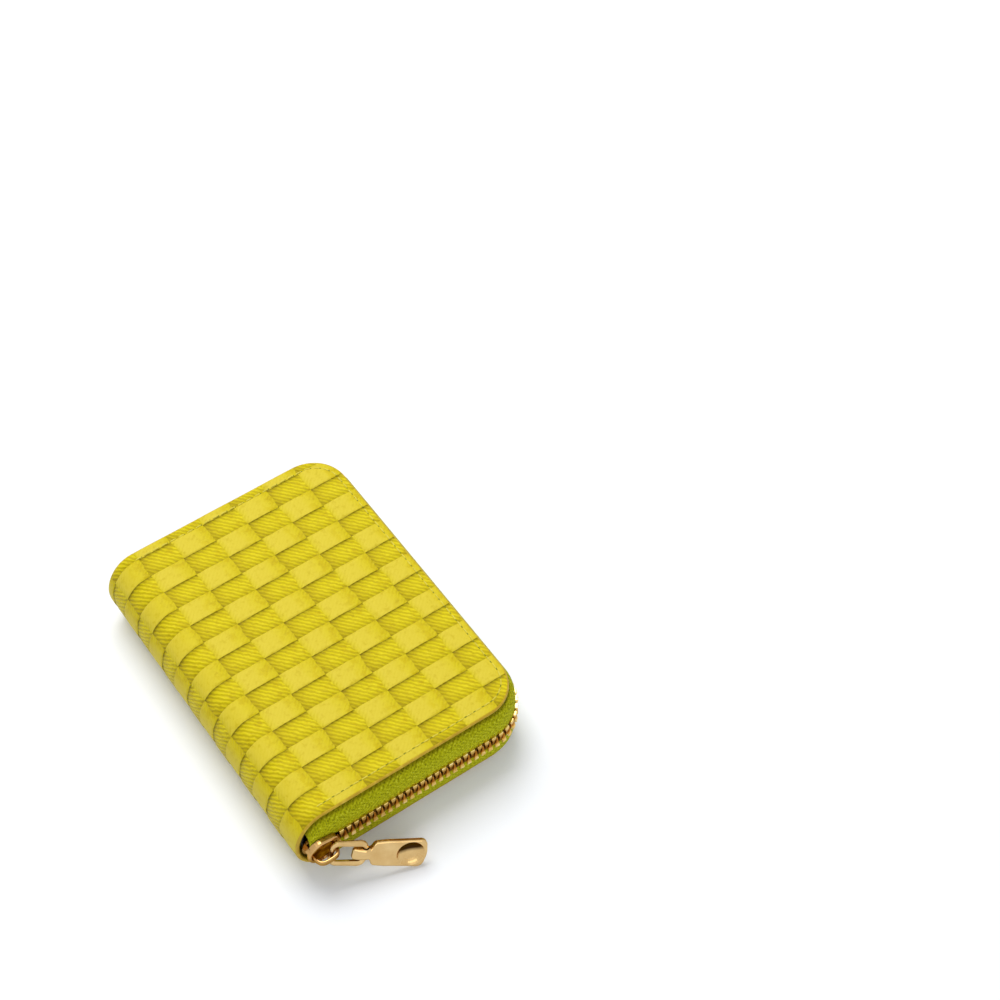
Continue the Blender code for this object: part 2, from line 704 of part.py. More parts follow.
def dish_shape():
    """The bowl pressed into the tab's end: nearly flat in the middle and steep at its rim."""
    dish = bmesh.new()
    middle = TAB_LENGTH - DISH_FROM_END
    top = TAB_THICKNESS / 2
    low = dish.verts.new((middle, 0.0, top - DISH_DEPTH))
    rows = []
    for level in (0.35, 0.6, 0.78, 0.9, 1.0):
        rows.append((DISH_RADIUS * level, top - DISH_DEPTH * (1 - level ** 4)))
    rows.append((DISH_RADIUS, top + TAB_THICKNESS / 2))
    rings = []
    for radius, height in rows:
        ring = []
        for step in range(DISH_SIDES):
            turn = 2 * math.pi * step / DISH_SIDES
            ring.append(dish.verts.new((middle + radius * math.cos(turn), radius * math.sin(turn), height)))
        rings.append(ring)
    for i in range(DISH_SIDES):
        j = (i + 1) % DISH_SIDES
        dish.faces.new((low, rings[0][j], rings[0][i]))
        for first, second in zip(rings, rings[1:]):
            dish.faces.new((first[i], first[j], second[j], second[i]))
    dish.faces.new(rings[-1])
    return dish


def pull_tab(finish, link):
    """The flat tab: a neck with the eye for the link's bar, shoulders, and a dished square end."""
    rings = []
    for along, half_width, half_thick in tab_stations():
        section = rounded_section(half_width, half_thick, 0.5 * half_thick)
        rings.append([(along, b, c) for b, c in section])
    data = loft(rings)
    face_outwards(data)
    place = link.matrix_world @ Vector((LINK_LENGTH, 0.0, 0.0))
    tab = local_node("pull_tab", data, finish, place, link, pull_turn())
    bpy.context.view_layer.update()

    hole = WIRE / 2 + CLEARANCE
    circle = []
    for step in range(16):
        turn = 2 * math.pi * step / 16
        circle.append((hole * math.cos(turn), hole * math.sin(turn)))
    reach = TAB_NECK_HALF_WIDTH * 2
    cutter("tab_eye", prism(circle, -reach, reach, axis=1), tab)
    cutter("tab_dish", dish_shape(), tab)
    return tab


def build():
    """Make every piece in its own place in the closed holder."""
    for old in list(bpy.data.objects):
        bpy.data.objects.remove(old)
    leather = material("embossed yellow leather", (0.60, 0.50, 0.04), 0.55)
    board = material("grey pulp board", (0.35, 0.33, 0.30), 0.9)
    cloth = material("dark brown nylon lining", (0.015, 0.010, 0.009), 0.8)
    tape = material("lime zip tape", (0.33, 0.36, 0.02), 0.85)
    brass = material("brass teeth", (0.62, 0.42, 0.16), 0.3, 1.0)
    gold = material("light gold plating", (0.78, 0.58, 0.33), 0.25, 1.0)

    node("bottom_leather", leather_panel(), leather)
    node("bottom_board", board_panel(), board)
    node("bottom_lining", lining_panel(), cloth)
    node("top_leather", flip_z(leather_panel()), leather, HINGE)
    node("top_board", flip_z(board_panel()), board, HINGE)
    node("top_lining", flip_z(lining_panel()), cloth, HINGE)

    node("spine_leather", spine_shell(0.0, LEATHER, HALF_LENGTH), leather)
    node("spine_lining", spine_shell(LINING_OUTSIDE, LINING, HALF_LENGTH - LINING_INSET), cloth)

    node("lower_zip_tape", zip_tape(), tape)
    node("upper_zip_tape", flip_z(zip_tape()), tape, HINGE)

    diamond_end = SLIDER_Y - SLIDER_LENGTH / 2 + DIAMOND_SETBACK + DIAMOND_LENGTH + CLEARANCE - TANGENT_Y
    slider_end = SLIDER_Y + SLIDER_LENGTH / 2 + 3 * CLEARANCE - TANGENT_Y
    far_end = path_length() + CHAIN_FAR_REACH
    lower_places, upper_places = tooth_rows(diamond_end, slider_end, far_end)
    node("lower_zip_teeth", zip_teeth(lower_places, -1), brass)
    node("upper_zip_teeth", zip_teeth(upper_places, 1), brass, HINGE)

    stop_start = max(lower_places[-1], upper_places[-1]) + TOOTH_BASE_WIDTH / 2 + CLEARANCE
    node("lower_zip_stop", zip_stop(stop_start, -1), brass)
    node("upper_zip_stop", zip_stop(stop_start, 1), brass, HINGE)

    for number, height in enumerate(leaf_heights(), start=1):
        node(f"pocket_leaf_{number:02d}", leaf_panel(height), cloth, HINGE)
    node("near_gusset", end_gusset(1), cloth)
    node("far_gusset", end_gusset(-1), cloth)
    node("accordion_floor", accordion_floor(), cloth)

    slider = slider_body(gold)
    link = pull_link(gold, slider)
    bpy.context.view_layer.update()
    pull_tab(gold, link)


build()
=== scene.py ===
# %% [markdown]
# # A zip-around card holder in woven-look leather
# The holder is two stiff covers and a soft spine, wrapped in one sheet of embossed leather,
# with a metal zip round three sides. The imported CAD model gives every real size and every
# joint. This script dresses that model: it leaves its places alone and gives each piece the
# form and the surface that the eye expects.

import math

import bmesh
import bpy
import numpy as np
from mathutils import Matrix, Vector


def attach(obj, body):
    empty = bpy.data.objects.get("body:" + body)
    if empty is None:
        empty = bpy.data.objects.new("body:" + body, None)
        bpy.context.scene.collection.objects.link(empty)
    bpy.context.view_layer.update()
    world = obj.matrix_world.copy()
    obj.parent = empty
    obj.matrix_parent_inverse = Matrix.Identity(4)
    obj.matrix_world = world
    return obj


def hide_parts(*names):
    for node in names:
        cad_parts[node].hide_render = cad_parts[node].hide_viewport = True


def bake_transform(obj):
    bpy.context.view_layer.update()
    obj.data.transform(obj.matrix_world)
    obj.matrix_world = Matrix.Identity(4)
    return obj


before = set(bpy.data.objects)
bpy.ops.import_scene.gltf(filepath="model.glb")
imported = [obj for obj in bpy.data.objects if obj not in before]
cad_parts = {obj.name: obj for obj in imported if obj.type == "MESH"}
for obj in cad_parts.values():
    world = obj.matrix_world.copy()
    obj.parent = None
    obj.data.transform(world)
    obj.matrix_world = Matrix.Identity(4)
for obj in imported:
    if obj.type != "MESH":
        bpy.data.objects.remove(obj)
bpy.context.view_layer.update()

# %% [markdown]
# Colours are written the way a picture editor shows them, as sRGB hex. Blender's shaders add
# light in linear numbers, so one function turns the first into the second. One more function
# adds a shader node, sets its values and joins it up, so that a material reads as a list. The
# short ones after it are the sums, ramps, noise and waves that the materials share.

# %% Colour and node helpers
def linear(hex_colour):
    """An sRGB hex colour as Blender's linear numbers, with full alpha."""
    values = [int(hex_colour[i:i + 2], 16) / 255 for i in (1, 3, 5)]
    values = [v / 12.92 if v <= 0.04045 else ((v + 0.055) / 1.055) ** 2.4 for v in values]
    return (*values, 1.0)


def add(tree, kind, settings=None, inputs=None):
    """Add a node. settings are its own options. inputs are numbers or other nodes' sockets."""
    made = tree.nodes.new(kind)
    for name, value in (settings or {}).items():
        setattr(made, name, value)
    for key, value in (inputs or {}).items():
        socket = made.inputs[key]
        if isinstance(value, bpy.types.NodeSocket):
            tree.links.new(value, socket)
        else:
            socket.default_value = value
    return made


def new_material(name, **shader_values):
    """A material with one Principled shader, and its tree and shader to build on."""
    made = bpy.data.materials.new(name)
    made.use_nodes = True
    tree = made.node_tree
    shader = tree.nodes["Principled BSDF"]
    for key, value in shader_values.items():
        shader.inputs[key.replace("_", " ")].default_value = value
    return made, tree, shader


def math_node(tree, operation, a, b=0.0, c=0.0):
    """One sum on numbers or sockets."""
    return add(tree, "ShaderNodeMath", {"operation": operation}, {0: a, 1: b, 2: c}).outputs[0]


def ramp(tree, factor, stops):
    """A colour that follows a number: stops are (place, hex colour)."""
    made = add(tree, "ShaderNodeValToRGB", None, {"Fac": factor})
    elements = made.color_ramp.elements
    while len(elements) < len(stops):
        elements.new(0.5)
    for element, (place, colour) in zip(elements, stops):
        element.position = place
        element.color = linear(colour)
    return made.outputs["Color"]


def mix(tree, factor, a, b, blend="MIX"):
    """Mix two colours, each a hex colour or a socket."""
    made = add(tree, "ShaderNodeMix", {"data_type": "RGBA", "blend_type": blend}, {0: factor})
    for index, value in ((6, a), (7, b)):
        if isinstance(value, str):
            made.inputs[index].default_value = linear(value)
        else:
            tree.links.new(value, made.inputs[index])
    return made.outputs[2]


def bump(tree, height, distance, strength=1.0, normal=None):
    """Turn a height into a bump of a real depth, in metres."""
    inputs = {"Height": height, "Distance": distance, "Strength": strength}
    if normal is not None:
        inputs["Normal"] = normal
    return add(tree, "ShaderNodeBump", None, inputs).outputs["Normal"]


def object_place(tree):
    """Where a shaded point lies in the object's own space, in metres."""
    return add(tree, "ShaderNodeTexCoord").outputs["Object"]


def flat_place(tree):
    """Where a shaded point lies on its flat sheet, in centimetres."""
    return add(tree, "ShaderNodeUVMap", {"uv_map": "flat"}).outputs["UV"]


def split(tree, place):
    """The X, Y and Z of a place as three numbers."""
    parts = add(tree, "ShaderNodeSeparateXYZ", None, {0: place})
    return parts.outputs["X"], parts.outputs["Y"], parts.outputs["Z"]


def noise(tree, place, scale, detail=2.0, roughness=0.5, dimensions="3D"):
    """Soft clouds from 0 to 1, scale of them to a unit of place."""
    inputs = {"Vector": place, "Scale": scale, "Detail": detail, "Roughness": roughness}
    return add(tree, "ShaderNodeTexNoise", {"noise_dimensions": dimensions}, inputs).outputs["Fac"]


def waves(tree, run, pitch):
    """A sine wave along a run, one crest in each pitch."""
    return math_node(tree, "SINE", math_node(tree, "MULTIPLY", run, 2 * math.pi / pitch))


print("a raised block in linear numbers:", [round(v, 3) for v in linear("#DDCB46")[:3]])

# %% [markdown]
# ## Sizes
# The sizes below repeat the CAD model's named values, in metres. The leather is followed flat,
# as it was before it was wrapped: x runs along the holder, and s runs over the top cover from
# the mouth to the spine, round the spine, and back under the bottom cover to the mouth.

# %% Sizes shared with the CAD model
HALF_LENGTH = 0.055
MOUTH_Y = 0.040
TANGENT_Y = -0.030
SPINE_DEPTH = 0.010
THICKNESS = 0.026
MID_Z = THICKNESS / 2
CORNER_RADIUS = 0.012
LEATHER = 0.0016
TAPE_BULGE = 0.0016
TOOTH_PITCH = 0.0025

arc_angle = np.linspace(0, math.pi, 721)
arc_y = TANGENT_Y - SPINE_DEPTH * np.sin(arc_angle)
arc_z = MID_Z + MID_Z * np.cos(arc_angle)
arc_run = np.concatenate([[0], np.cumsum(np.hypot(np.diff(arc_y), np.diff(arc_z)))])
SPINE_RUN = float(arc_run[-1])
S_TOP = MOUTH_Y
S_SPINE_END = TANGENT_Y - SPINE_RUN
S_BOTTOM = S_SPINE_END - (MOUTH_Y - TANGENT_Y)
S_MIDDLE = (S_TOP + S_BOTTOM) / 2
WRAP_LENGTH = S_TOP - S_BOTTOM
print("leather round the spine:", round(SPINE_RUN * 1000, 1), "mm")
print("whole wrap:", round(WRAP_LENGTH * 1000, 1), "mm")


def wrap_point(x, s, inward):
    """Places and outward normals of leather points, a depth inward from the outside surface."""
    x, s, inward = np.broadcast_arrays(*(np.asarray(value, float) for value in (x, s, inward)))
    place = np.zeros(x.shape + (3,))
    normal = np.zeros(x.shape + (3,))
    place[..., 0] = x
    top = s >= TANGENT_Y
    bottom = s <= S_SPINE_END
    run = np.clip(TANGENT_Y - s, 0, SPINE_RUN)
    angle = np.interp(run, arc_run, arc_angle)
    normal_y = -np.sin(angle) / SPINE_DEPTH
    normal_z = np.cos(angle) / MID_Z
    size = np.hypot(normal_y, normal_z)
    spine_y = np.interp(run, arc_run, arc_y)
    spine_z = np.interp(run, arc_run, arc_z)
    place[..., 1] = np.where(top, s, np.where(bottom, TANGENT_Y + S_SPINE_END - s, spine_y))
    place[..., 2] = np.where(top, THICKNESS, np.where(bottom, 0.0, spine_z))
    normal[..., 1] = np.where(top | bottom, 0.0, normal_y / size)
    normal[..., 2] = np.where(top, 1.0, np.where(bottom, -1.0, normal_z / size))
    return place - normal * inward[..., None], normal


# %% [markdown]
# ## Camera, light and floor
# The photograph was taken from the near corner of the slider's end, well above the table.
# The camera's place and its lens come from a fit to the holder's straight edges. The floor is
# white and so is what stands behind it, and one broad soft lamp with the world's even light
# gives the object its plain studio look.

# %% Camera
camera_data = bpy.data.cameras.new("photograph view")
camera_data.sensor_width = 36
camera_data.lens = 78.13
camera_data.clip_end = 20
camera = bpy.data.objects.new("photograph view", camera_data)
camera.location = (0.32457, -0.15808, 0.56853)
camera.rotation_euler = (math.radians(36.71), 0, math.radians(54.95))
bpy.context.scene.collection.objects.link(camera)
bpy.context.scene.camera = camera
bpy.context.scene.view_settings.view_transform = "Standard"
print("camera distance:", round(camera.location.length, 3), "m")

# %% Light
def soft_lamp(name, place, target, size, power):
    """A square area lamp that looks at a point."""
    data = bpy.data.lights.new(name, "AREA")
    data.size = size
    data.energy = power
    lamp = bpy.data.objects.new(name, data)
    lamp.location = place
    lamp.rotation_euler = (Vector(target) - Vector(place)).to_track_quat("-Z", "Y").to_euler()
    bpy.context.scene.collection.objects.link(lamp)


soft_lamp("key softbox", (-0.48, 0.10, 1.00), (0, 0, 0), 0.72, 9.7)
soft_lamp("fill softbox", (0.75, -0.20, 0.60), (0, 0, 0), 0.7, 1.7)

world = bpy.data.worlds.new("studio")
bpy.context.scene.world = world
world.use_nodes = True
sky = world.node_tree


def seen_directly(tree):
    """1 for the rays that show a background, in the picture, in metal and through glass."""
    path = add(tree, "ShaderNodeLightPath")
    camera_ray, clear_ray = path.outputs["Is Camera Ray"], path.outputs["Is Transmission Ray"]
    straight = math_node(tree, "MAXIMUM", camera_ray, clear_ray)
    return math_node(tree, "MAXIMUM", straight, path.outputs["Is Glossy Ray"])


WORLD_ON_OBJECT = 0.49
behind = seen_directly(sky)
background = sky.nodes["Background"]
strength = math_node(sky, "MULTIPLY_ADD", behind, 1 - WORLD_ON_OBJECT, WORLD_ON_OBJECT)
sky.links.new(mix(sky, behind, "#F7FAFF", "#FFFFFF"), background.inputs["Color"])
sky.links.new(strength, background.inputs["Strength"])
print("world strength", WORLD_ON_OBJECT, "on the object, 1 behind it")

# %% Floor
FLOOR_GLOW = 0.08
FLOOR_HALF = 3.0
floor_finish, tree, shader = new_material(
    "matt white table", Base_Color=linear("#EFF1F4"), Roughness=0.9)
shader.inputs["Specular IOR Level"].default_value = 0.1
shader.inputs["Emission Color"].default_value = (1, 1, 1, 1)
glow = math_node(tree, "MULTIPLY", seen_directly(tree), FLOOR_GLOW)
tree.links.new(glow, shader.inputs["Emission Strength"])
floor_mesh = bmesh.new()
bmesh.ops.create_grid(floor_mesh, x_segments=1, y_segments=1, size=FLOOR_HALF)
floor_data = bpy.data.meshes.new("table")
floor_mesh.to_mesh(floor_data)
floor_mesh.free()
floor_data.materials.append(floor_finish)
table = bpy.data.objects.new("table", floor_data)
bpy.context.scene.collection.objects.link(table)
print("floor at z = 0")

# %% [markdown]
# ## The woven look
# The leather isn't woven. A heated plate presses a basket weave into one sheet: smooth raised
# blocks, where a strip runs over, alternate with lower ribbed blocks, where the strip across
# it shows. Each block is 7.5 mm by 11.4 mm. The relief is deep enough to catch the light at
# its walls, so the mesh carries it, and the fine ribs are left to the material.

# %% The relief of the embossed leather
CELL_X = 0.007525
CELL_S = 0.01142
FIRST_X = -0.0516
FIRST_S = 0.0294
ROW_LIE = 0.030  # how much the rows slope against the holder's length
RELIEF = 0.00042
LAST_COLUMN = 13.985  # the last column runs on to the leather's edge
WALL_X = 0.00016  # from a block's edge to its full height
WALL_S = 0.0007
SEAM_GROOVE = 0.13  # its depth as a share of the relief
SEAM_GROOVE_WIDTH = 0.00045
SEAM_FROM_END = 0.0031
SEAM_FROM_MOUTH = 0.0022


def edge_distance(x, s, end_trim=0.0):
    """Distance from the leather's outline, on the flat sheet, or from one with shorter ends."""
    x = np.abs(np.asarray(x, float)) + end_trim
    s = np.asarray(s, float)
    across = WRAP_LENGTH / 2 - np.abs(s - S_MIDDLE)
    beside = HALF_LENGTH - x
    in_corner = (across < CORNER_RADIUS) & (beside < CORNER_RADIUS)
    round_part = CORNER_RADIUS - np.hypot(CORNER_RADIUS - across, CORNER_RADIUS - beside)
    return np.where(in_corner, round_part, np.minimum(across, beside))


def soft_step(value, low, high):
    """0 below low, 1 above high and smooth between."""
    t = np.clip((value - low) / (high - low), 0, 1)
    return t * t * (3 - 2 * t)


def weave_depth(x, s):
    """How far the embossing goes in at a point of the flat leather, in metres."""
    x = np.asarray(x, float)
    s = np.asarray(s, float)
    wander = 0.00010 * np.sin(s * 410 + 1.3) + 0.00008 * np.sin(s * 950 + x * 300)
    k = np.minimum((x - FIRST_X + wander) / CELL_X, LAST_COLUMN)
    r = (FIRST_S - s + ROW_LIE * x + 0.0001 * np.sin(x * 520)) / CELL_S
    column = np.floor(k)
    row = np.floor(r)
    fx = np.abs(k - column - 0.5) * 2
    fs = np.abs(r - row - 0.5) * 2
    side_x = np.where(column % 2 == 0, 1, -1) * np.clip((1 - fx) * CELL_X / 2 / WALL_X, 0, 1)
    side_s = np.where(row % 2 == 0, 1, -1) * np.clip((1 - fs) * CELL_S / 2 / WALL_S, 0, 1)
    raised = 0.5 - 0.5 * side_x * side_s
    low_side = np.where(k - column > 0.5, 0.45, 1.0)
    over = 1 - 0.34 * soft_step(fs, 0.55, 1.0) - 0.08 * soft_step(fx, 0.9, 1.0)
    under = 0.60 - 0.50 * low_side * fx ** 3.0 + 0.05 * soft_step(fs, 0.5, 1.0)
    height = raised * over + (1 - raised) * under
    inset = edge_distance(x, s)
    height *= 0.45 + 0.55 * soft_step(inset, 0.0008, 0.0045)
    height += 0.30 * (1 - soft_step(inset, 0.0005, 0.004))
    beside_seam = edge_distance(x, s, SEAM_FROM_END - SEAM_FROM_MOUTH) - SEAM_FROM_MOUTH
    seam = np.exp(-(beside_seam / SEAM_GROOVE_WIDTH) ** 2) * SEAM_GROOVE
    seam = np.where((s > TANGENT_Y) | (s < S_SPINE_END), seam, 0)
    return RELIEF * np.clip(1 - height + seam, 0, 2)


print("relief:", RELIEF * 1000, "mm; blocks along the holder:", round(2 * HALF_LENGTH / CELL_X, 1))

# %% [markdown]
# The sheet is a grid of points on the flat leather. Its lines across the holder crowd together
# at the blocks' walls, so that the steps stay crisp without millions of faces. A square grid
# is pulled round at the four corners, then every point is lifted onto the holder and pressed in
# by the relief. The rim of the grid goes on as a turned edge: round, down and back under.

# %% The leather wrap
EDGE_ROUND = 0.0009
TURNED_UNDER = 0.0035
GRID_ROWS = 381


def grid_lines():
    """x of the grid's lines, dense at the blocks' walls."""
    steps_mm = [0, 0.16, 0.42, 0.95, 1.75, 2.75, 3.76, 4.78, 5.78, 6.58, 7.1, 7.365]
    steps = np.array(steps_mm) / 7.525
    lines = [FIRST_X + (k + step) * CELL_X for k in range(-2, 16) for step in steps]
    limit = HALF_LENGTH - EDGE_ROUND
    kept = [x for x in lines if abs(x) < limit - 0.0002]
    return np.array([-limit] + kept + [limit])


def round_corners(x, s):
    """Pull the rectangular grid's corners in to the leather's round corners."""
    radius = CORNER_RADIUS - EDGE_ROUND
    half_s = WRAP_LENGTH / 2 - EDGE_ROUND
    a = (np.abs(x) - (HALF_LENGTH - EDGE_ROUND - radius)) / radius
    b = (np.abs(s - S_MIDDLE) - (half_s - radius)) / radius
    corner = (a > 0) & (b > 0)
    a_round = a * np.sqrt(np.clip(1 - b * b / 2, 0, 1))
    b_round = b * np.sqrt(np.clip(1 - a * a / 2, 0, 1))
    new_x = np.sign(x) * (HALF_LENGTH - EDGE_ROUND - radius + radius * a_round)
    new_s = S_MIDDLE + np.sign(s - S_MIDDLE) * (half_s - radius + radius * b_round)
    return np.where(corner, new_x, x), np.where(corner, new_s, s)


xs = grid_lines()
ss = np.linspace(S_TOP - EDGE_ROUND, S_BOTTOM + EDGE_ROUND, GRID_ROWS)
flat_x, flat_s = round_corners(*np.meshgrid(xs, ss))
rows, columns = flat_x.shape
surface, _ = wrap_point(flat_x, flat_s, weave_depth(flat_x, flat_s))
points = [surface.reshape(-1, 3)]
flat = [np.stack([flat_x, flat_s], -1).reshape(-1, 2)]

index = np.arange(rows * columns).reshape(rows, columns)
rim = np.concatenate([index[0, :-1], index[:-1, -1], index[-1, :0:-1], index[:0:-1, 0]])
rim_flat = flat[0][rim]
ahead = np.roll(rim_flat, -1, 0) - np.roll(rim_flat, 1, 0)
ahead /= np.linalg.norm(ahead, axis=1)[:, None]
outward = np.stack([-ahead[:, 1], ahead[:, 0]], -1)
if (outward * (rim_flat - np.array([0, S_MIDDLE]))).sum() < 0:
    outward = -outward
rim_depth = weave_depth(rim_flat[:, 0], rim_flat[:, 1])
turns = np.radians([25, 50, 70, 90])
profile = [(EDGE_ROUND * math.sin(t), EDGE_ROUND * (1 - math.cos(t))) for t in turns]
profile += [(EDGE_ROUND, LEATHER * 0.62), (EDGE_ROUND * 0.75, LEATHER * 0.93)]
profile += [(0.0, LEATHER), (-TURNED_UNDER, LEATHER)]
rings = []
for out, depth in profile:
    ring_flat = rim_flat + outward * out
    ring_depth = rim_depth * (1 - min(depth / LEATHER, 1)) + depth
    place, _ = wrap_point(ring_flat[:, 0], ring_flat[:, 1], ring_depth)
    rings.append(np.arange(len(rim)) + sum(len(p) for p in points))
    points.append(place)
    flat.append(ring_flat)

corners = [index[:-1, :-1], index[1:, :-1], index[1:, 1:], index[:-1, 1:]]
quads = np.stack(corners, -1).reshape(-1, 4)
edge_quads = []
for inner, outer in zip([rim] + rings[:-1], rings):
    edge_quads.append(np.stack([inner, np.roll(inner, -1), np.roll(outer, -1), outer], -1))
wrap_faces = np.concatenate([quads] + edge_quads)
wrap_places = np.concatenate(points)
wrap_flat = np.concatenate(flat)
print("wrap:", len(wrap_places), "points,", 2 * len(wrap_faces), "triangles")

# %% [markdown]
# A small function turns arrays of points and faces into an object. It also lays down a UV map
# in centimetres of the flat leather or cloth, so that a pattern follows the sheet round the
# spine and keeps its real size. Two more functions build closed shapes, one through loops of
# points and one from a section that is swept along a line.

# %% Make an object from arrays
def sheet_object(name, places, faces, materials, flat_places=None, material_index=None):
    """A smooth mesh object at the origin, with an optional UV map in centimetres."""
    mesh = bpy.data.meshes.new(name)
    mesh.from_pydata([tuple(p) for p in places], [], [tuple(int(i) for i in f) for f in faces])
    for finish in materials:
        mesh.materials.append(finish)
    if flat_places is not None:
        layer = mesh.uv_layers.new(name="flat")
        corner_vertex = np.zeros(len(mesh.loops), int)
        mesh.loops.foreach_get("vertex_index", corner_vertex)
        layer.data.foreach_set("uv", (np.asarray(flat_places)[corner_vertex] * 100).ravel())
    if material_index is not None:
        mesh.polygons.foreach_set("material_index", material_index)
    mesh.shade_smooth()
    mesh.validate()
    made = bpy.data.objects.new(name, mesh)
    bpy.context.scene.collection.objects.link(made)
    return made


def close_outwards(data, mesh):
    """Point a closed mesh's faces outwards and write it to mesh."""
    data.normal_update()
    bmesh.ops.recalc_face_normals(data, faces=data.faces)
    data.to_mesh(mesh)
    data.free()


def turn_outwards(piece):
    """Point a closed piece's faces outwards."""
    data = bmesh.new()
    data.from_mesh(piece.data)
    close_outwards(data, piece.data)
    return piece


def lofted(name, loops):
    """A closed shape through loops of points, all of one count, with both ends filled."""
    data = bmesh.new()
    rings = [[data.verts.new(point) for point in loop] for loop in loops]
    count = len(rings[0])
    for first, second in zip(rings, rings[1:]):
        for i in range(count):
            j = (i + 1) % count
            data.faces.new((first[i], first[j], second[j], second[i]))
    data.faces.new(rings[0])
    data.faces.new(rings[-1])
    mesh = bpy.data.meshes.new(name)
    close_outwards(data, mesh)
    return bpy.data.objects.new(name, mesh)


def swept_faces(count, around):
    """Faces of a closed section with around points, swept through count places, with end caps."""
    grid = np.arange(count * around).reshape(count, around)
    ahead = grid[1:]
    quads = [grid[:-1], np.roll(grid[:-1], -1, 1), np.roll(ahead, -1, 1), ahead]
    return np.stack(quads, -1).reshape(-1, 4).tolist() + [list(grid[0]), list(grid[-1])[::-1]]


print("helpers ready")

# %% [markdown]
# ## Embossed leather
# This is split leather with a pigmented, plate-embossed finish. The pigment coat is matt with a
# faint sheen. The lower blocks are a deeper, warmer yellow and the raised blocks are pale. Shade
# is painted into the colour as well: along the lower blocks' walls, darkest under a raised
# block's edge, at the lower blocks' spine-side ends, and at the raised blocks' ends where they
# dip. The rib troughs are darker too. The ribs are 1.2 mm apart on the lower blocks, and run the
# other way, a little closer, where the raised ones dive under.

# %% The leather's finish
leather, tree, shader = new_material("plate-embossed pigmented leather", Roughness=0.52)
shader.inputs["Specular IOR Level"].default_value = 0.12
sheet = flat_place(tree)
u, v, _ = split(tree, sheet)
drift = noise(tree, sheet, 1.6, dimensions="2D")
shift = math_node(tree, "MULTIPLY_ADD", drift, 0.16, -0.08)
column_run = math_node(tree, "DIVIDE", math_node(tree, "ADD", u, -FIRST_X * 100), CELL_X * 100)
k = math_node(tree, "MINIMUM", column_run, LAST_COLUMN)
lie = math_node(tree, "MULTIPLY_ADD", u, ROW_LIE, FIRST_S * 100)
row_run = math_node(tree, "DIVIDE", math_node(tree, "SUBTRACT", lie, v), CELL_S * 100)
r = math_node(tree, "ADD", row_run, shift)
block = math_node(tree, "ADD", math_node(tree, "FLOOR", k), math_node(tree, "FLOOR", r))
raised_block = math_node(tree, "GREATER_THAN", math_node(tree, "FLOORED_MODULO", block, 2.0), 0.5)
from_end = math_node(tree, "PINGPONG", r, 0.5)
within_k = math_node(tree, "FRACT", k)
within_r = math_node(tree, "FRACT", r)

# Painted shade: the lower blocks darken along their walls, darkest at 0, under the raised
# neighbour's edge, and a little at the other wall.
low_colour_and_wall_shade = ramp(tree, within_k, [
    (0.0, "#8A7E00"), (0.045, "#B4A500"), (0.15, "#D3C30A"), (0.35, "#DFCF16"),
    (0.6, "#E1D11E"), (0.85, "#D6C60A"), (1.0, "#C2B200")])
# Painted shade: the raised blocks are darker at their ends, where they dip, most at the mouth end.
raised_colour_and_end_shade = ramp(tree, within_r, [
    (0.0, "#D2C20E"), (0.10, "#D6C61C"), (0.28, "#DCCC38"), (0.45, "#DECD4A"),
    (0.82, "#DFCE50"), (0.94, "#DCCC3C"), (1.0, "#D8C824")])
# Painted shade: the lower blocks darken at their spine-side end, against the next raised block.
low_end_shade = ramp(tree, within_r, [
    (0.0, "#FFFFFF"), (0.55, "#FFFFFF"), (0.85, "#F2EFC8"), (1.0, "#DAD494")])
base = mix(tree, raised_block, mix(tree, 1.0, low_colour_and_wall_shade, low_end_shade, "MULTIPLY"), raised_colour_and_end_shade)

# Ribs: pitches in centimetres along the flat sheet's length, 0.124 and 0.106 across the ribs.
sway = noise(tree, sheet, 6.0, detail=1.0, dimensions="2D")
bend = math_node(tree, "MULTIPLY_ADD", sway, 0.10, -0.05)
slant = math_node(tree, "ADD", math_node(tree, "MULTIPLY_ADD", v, -1.163, u), bend)
cross_slant = math_node(tree, "ADD", math_node(tree, "ADD", u, v), bend)
rib_low = waves(tree, slant, 0.19)
rib_high = waves(tree, cross_slant, 0.15)
nearness = math_node(tree, "SMOOTH_MIN", math_node(tree, "MULTIPLY", from_end, 5.0), 1.0, 0.3)
end_zone = math_node(tree, "SUBTRACT", 1.0, nearness)
patchy = math_node(tree, "MULTIPLY", end_zone, math_node(tree, "MULTIPLY_ADD", sway, 2.4, -0.8))
high_amount = math_node(tree, "MULTIPLY_ADD", patchy, 0.5, 0.06)
rib = add(tree, "ShaderNodeMix", {"data_type": "FLOAT"}, {
    0: raised_block, 2: math_node(tree, "MULTIPLY", rib_low, 0.8),
    3: math_node(tree, "MULTIPLY", rib_high, high_amount)}).outputs[0]
rib_share = math_node(tree, "MULTIPLY_ADD", rib, 0.5, 0.5)
dark_rib = ramp(tree, rib_share, [(0.0, "#CCC236"), (0.5, "#F3EEA4"), (1.0, "#FFFFFF")])
base = mix(tree, 0.85, base, dark_rib, "MULTIPLY")

# Uneven pigment, and smudges where a raised block starts from under its neighbour.
mottle = noise(tree, sheet, 5.0, detail=5.0, roughness=0.65, dimensions="2D")
tone = ramp(tree, mottle, [
    (0.26, "#ECE690"), (0.45, "#FDFCEC"), (0.62, "#FFFFFF"), (0.8, "#F8F7E8")])
base = mix(tree, 0.85, base, tone, "MULTIPLY")
smudge = noise(tree, sheet, 3.4, detail=3.0, roughness=0.6, dimensions="2D")
mouth_end = ramp(tree, within_r, [
    (0.0, "#8A8A8A"), (0.10, "#FFFFFF"), (0.28, "#D0D0D0"), (0.46, "#000000")])
spots = ramp(tree, smudge, [(0.50, "#000000"), (0.60, "#FFFFFF")])
smudged = math_node(tree, "MULTIPLY", math_node(tree, "MULTIPLY", mouth_end, spots), 0.85)
base = mix(tree, smudged, base, mix(tree, 1.0, base, "#F3EC3C", "MULTIPLY"))
tree.links.new(base, shader.inputs["Base Color"])

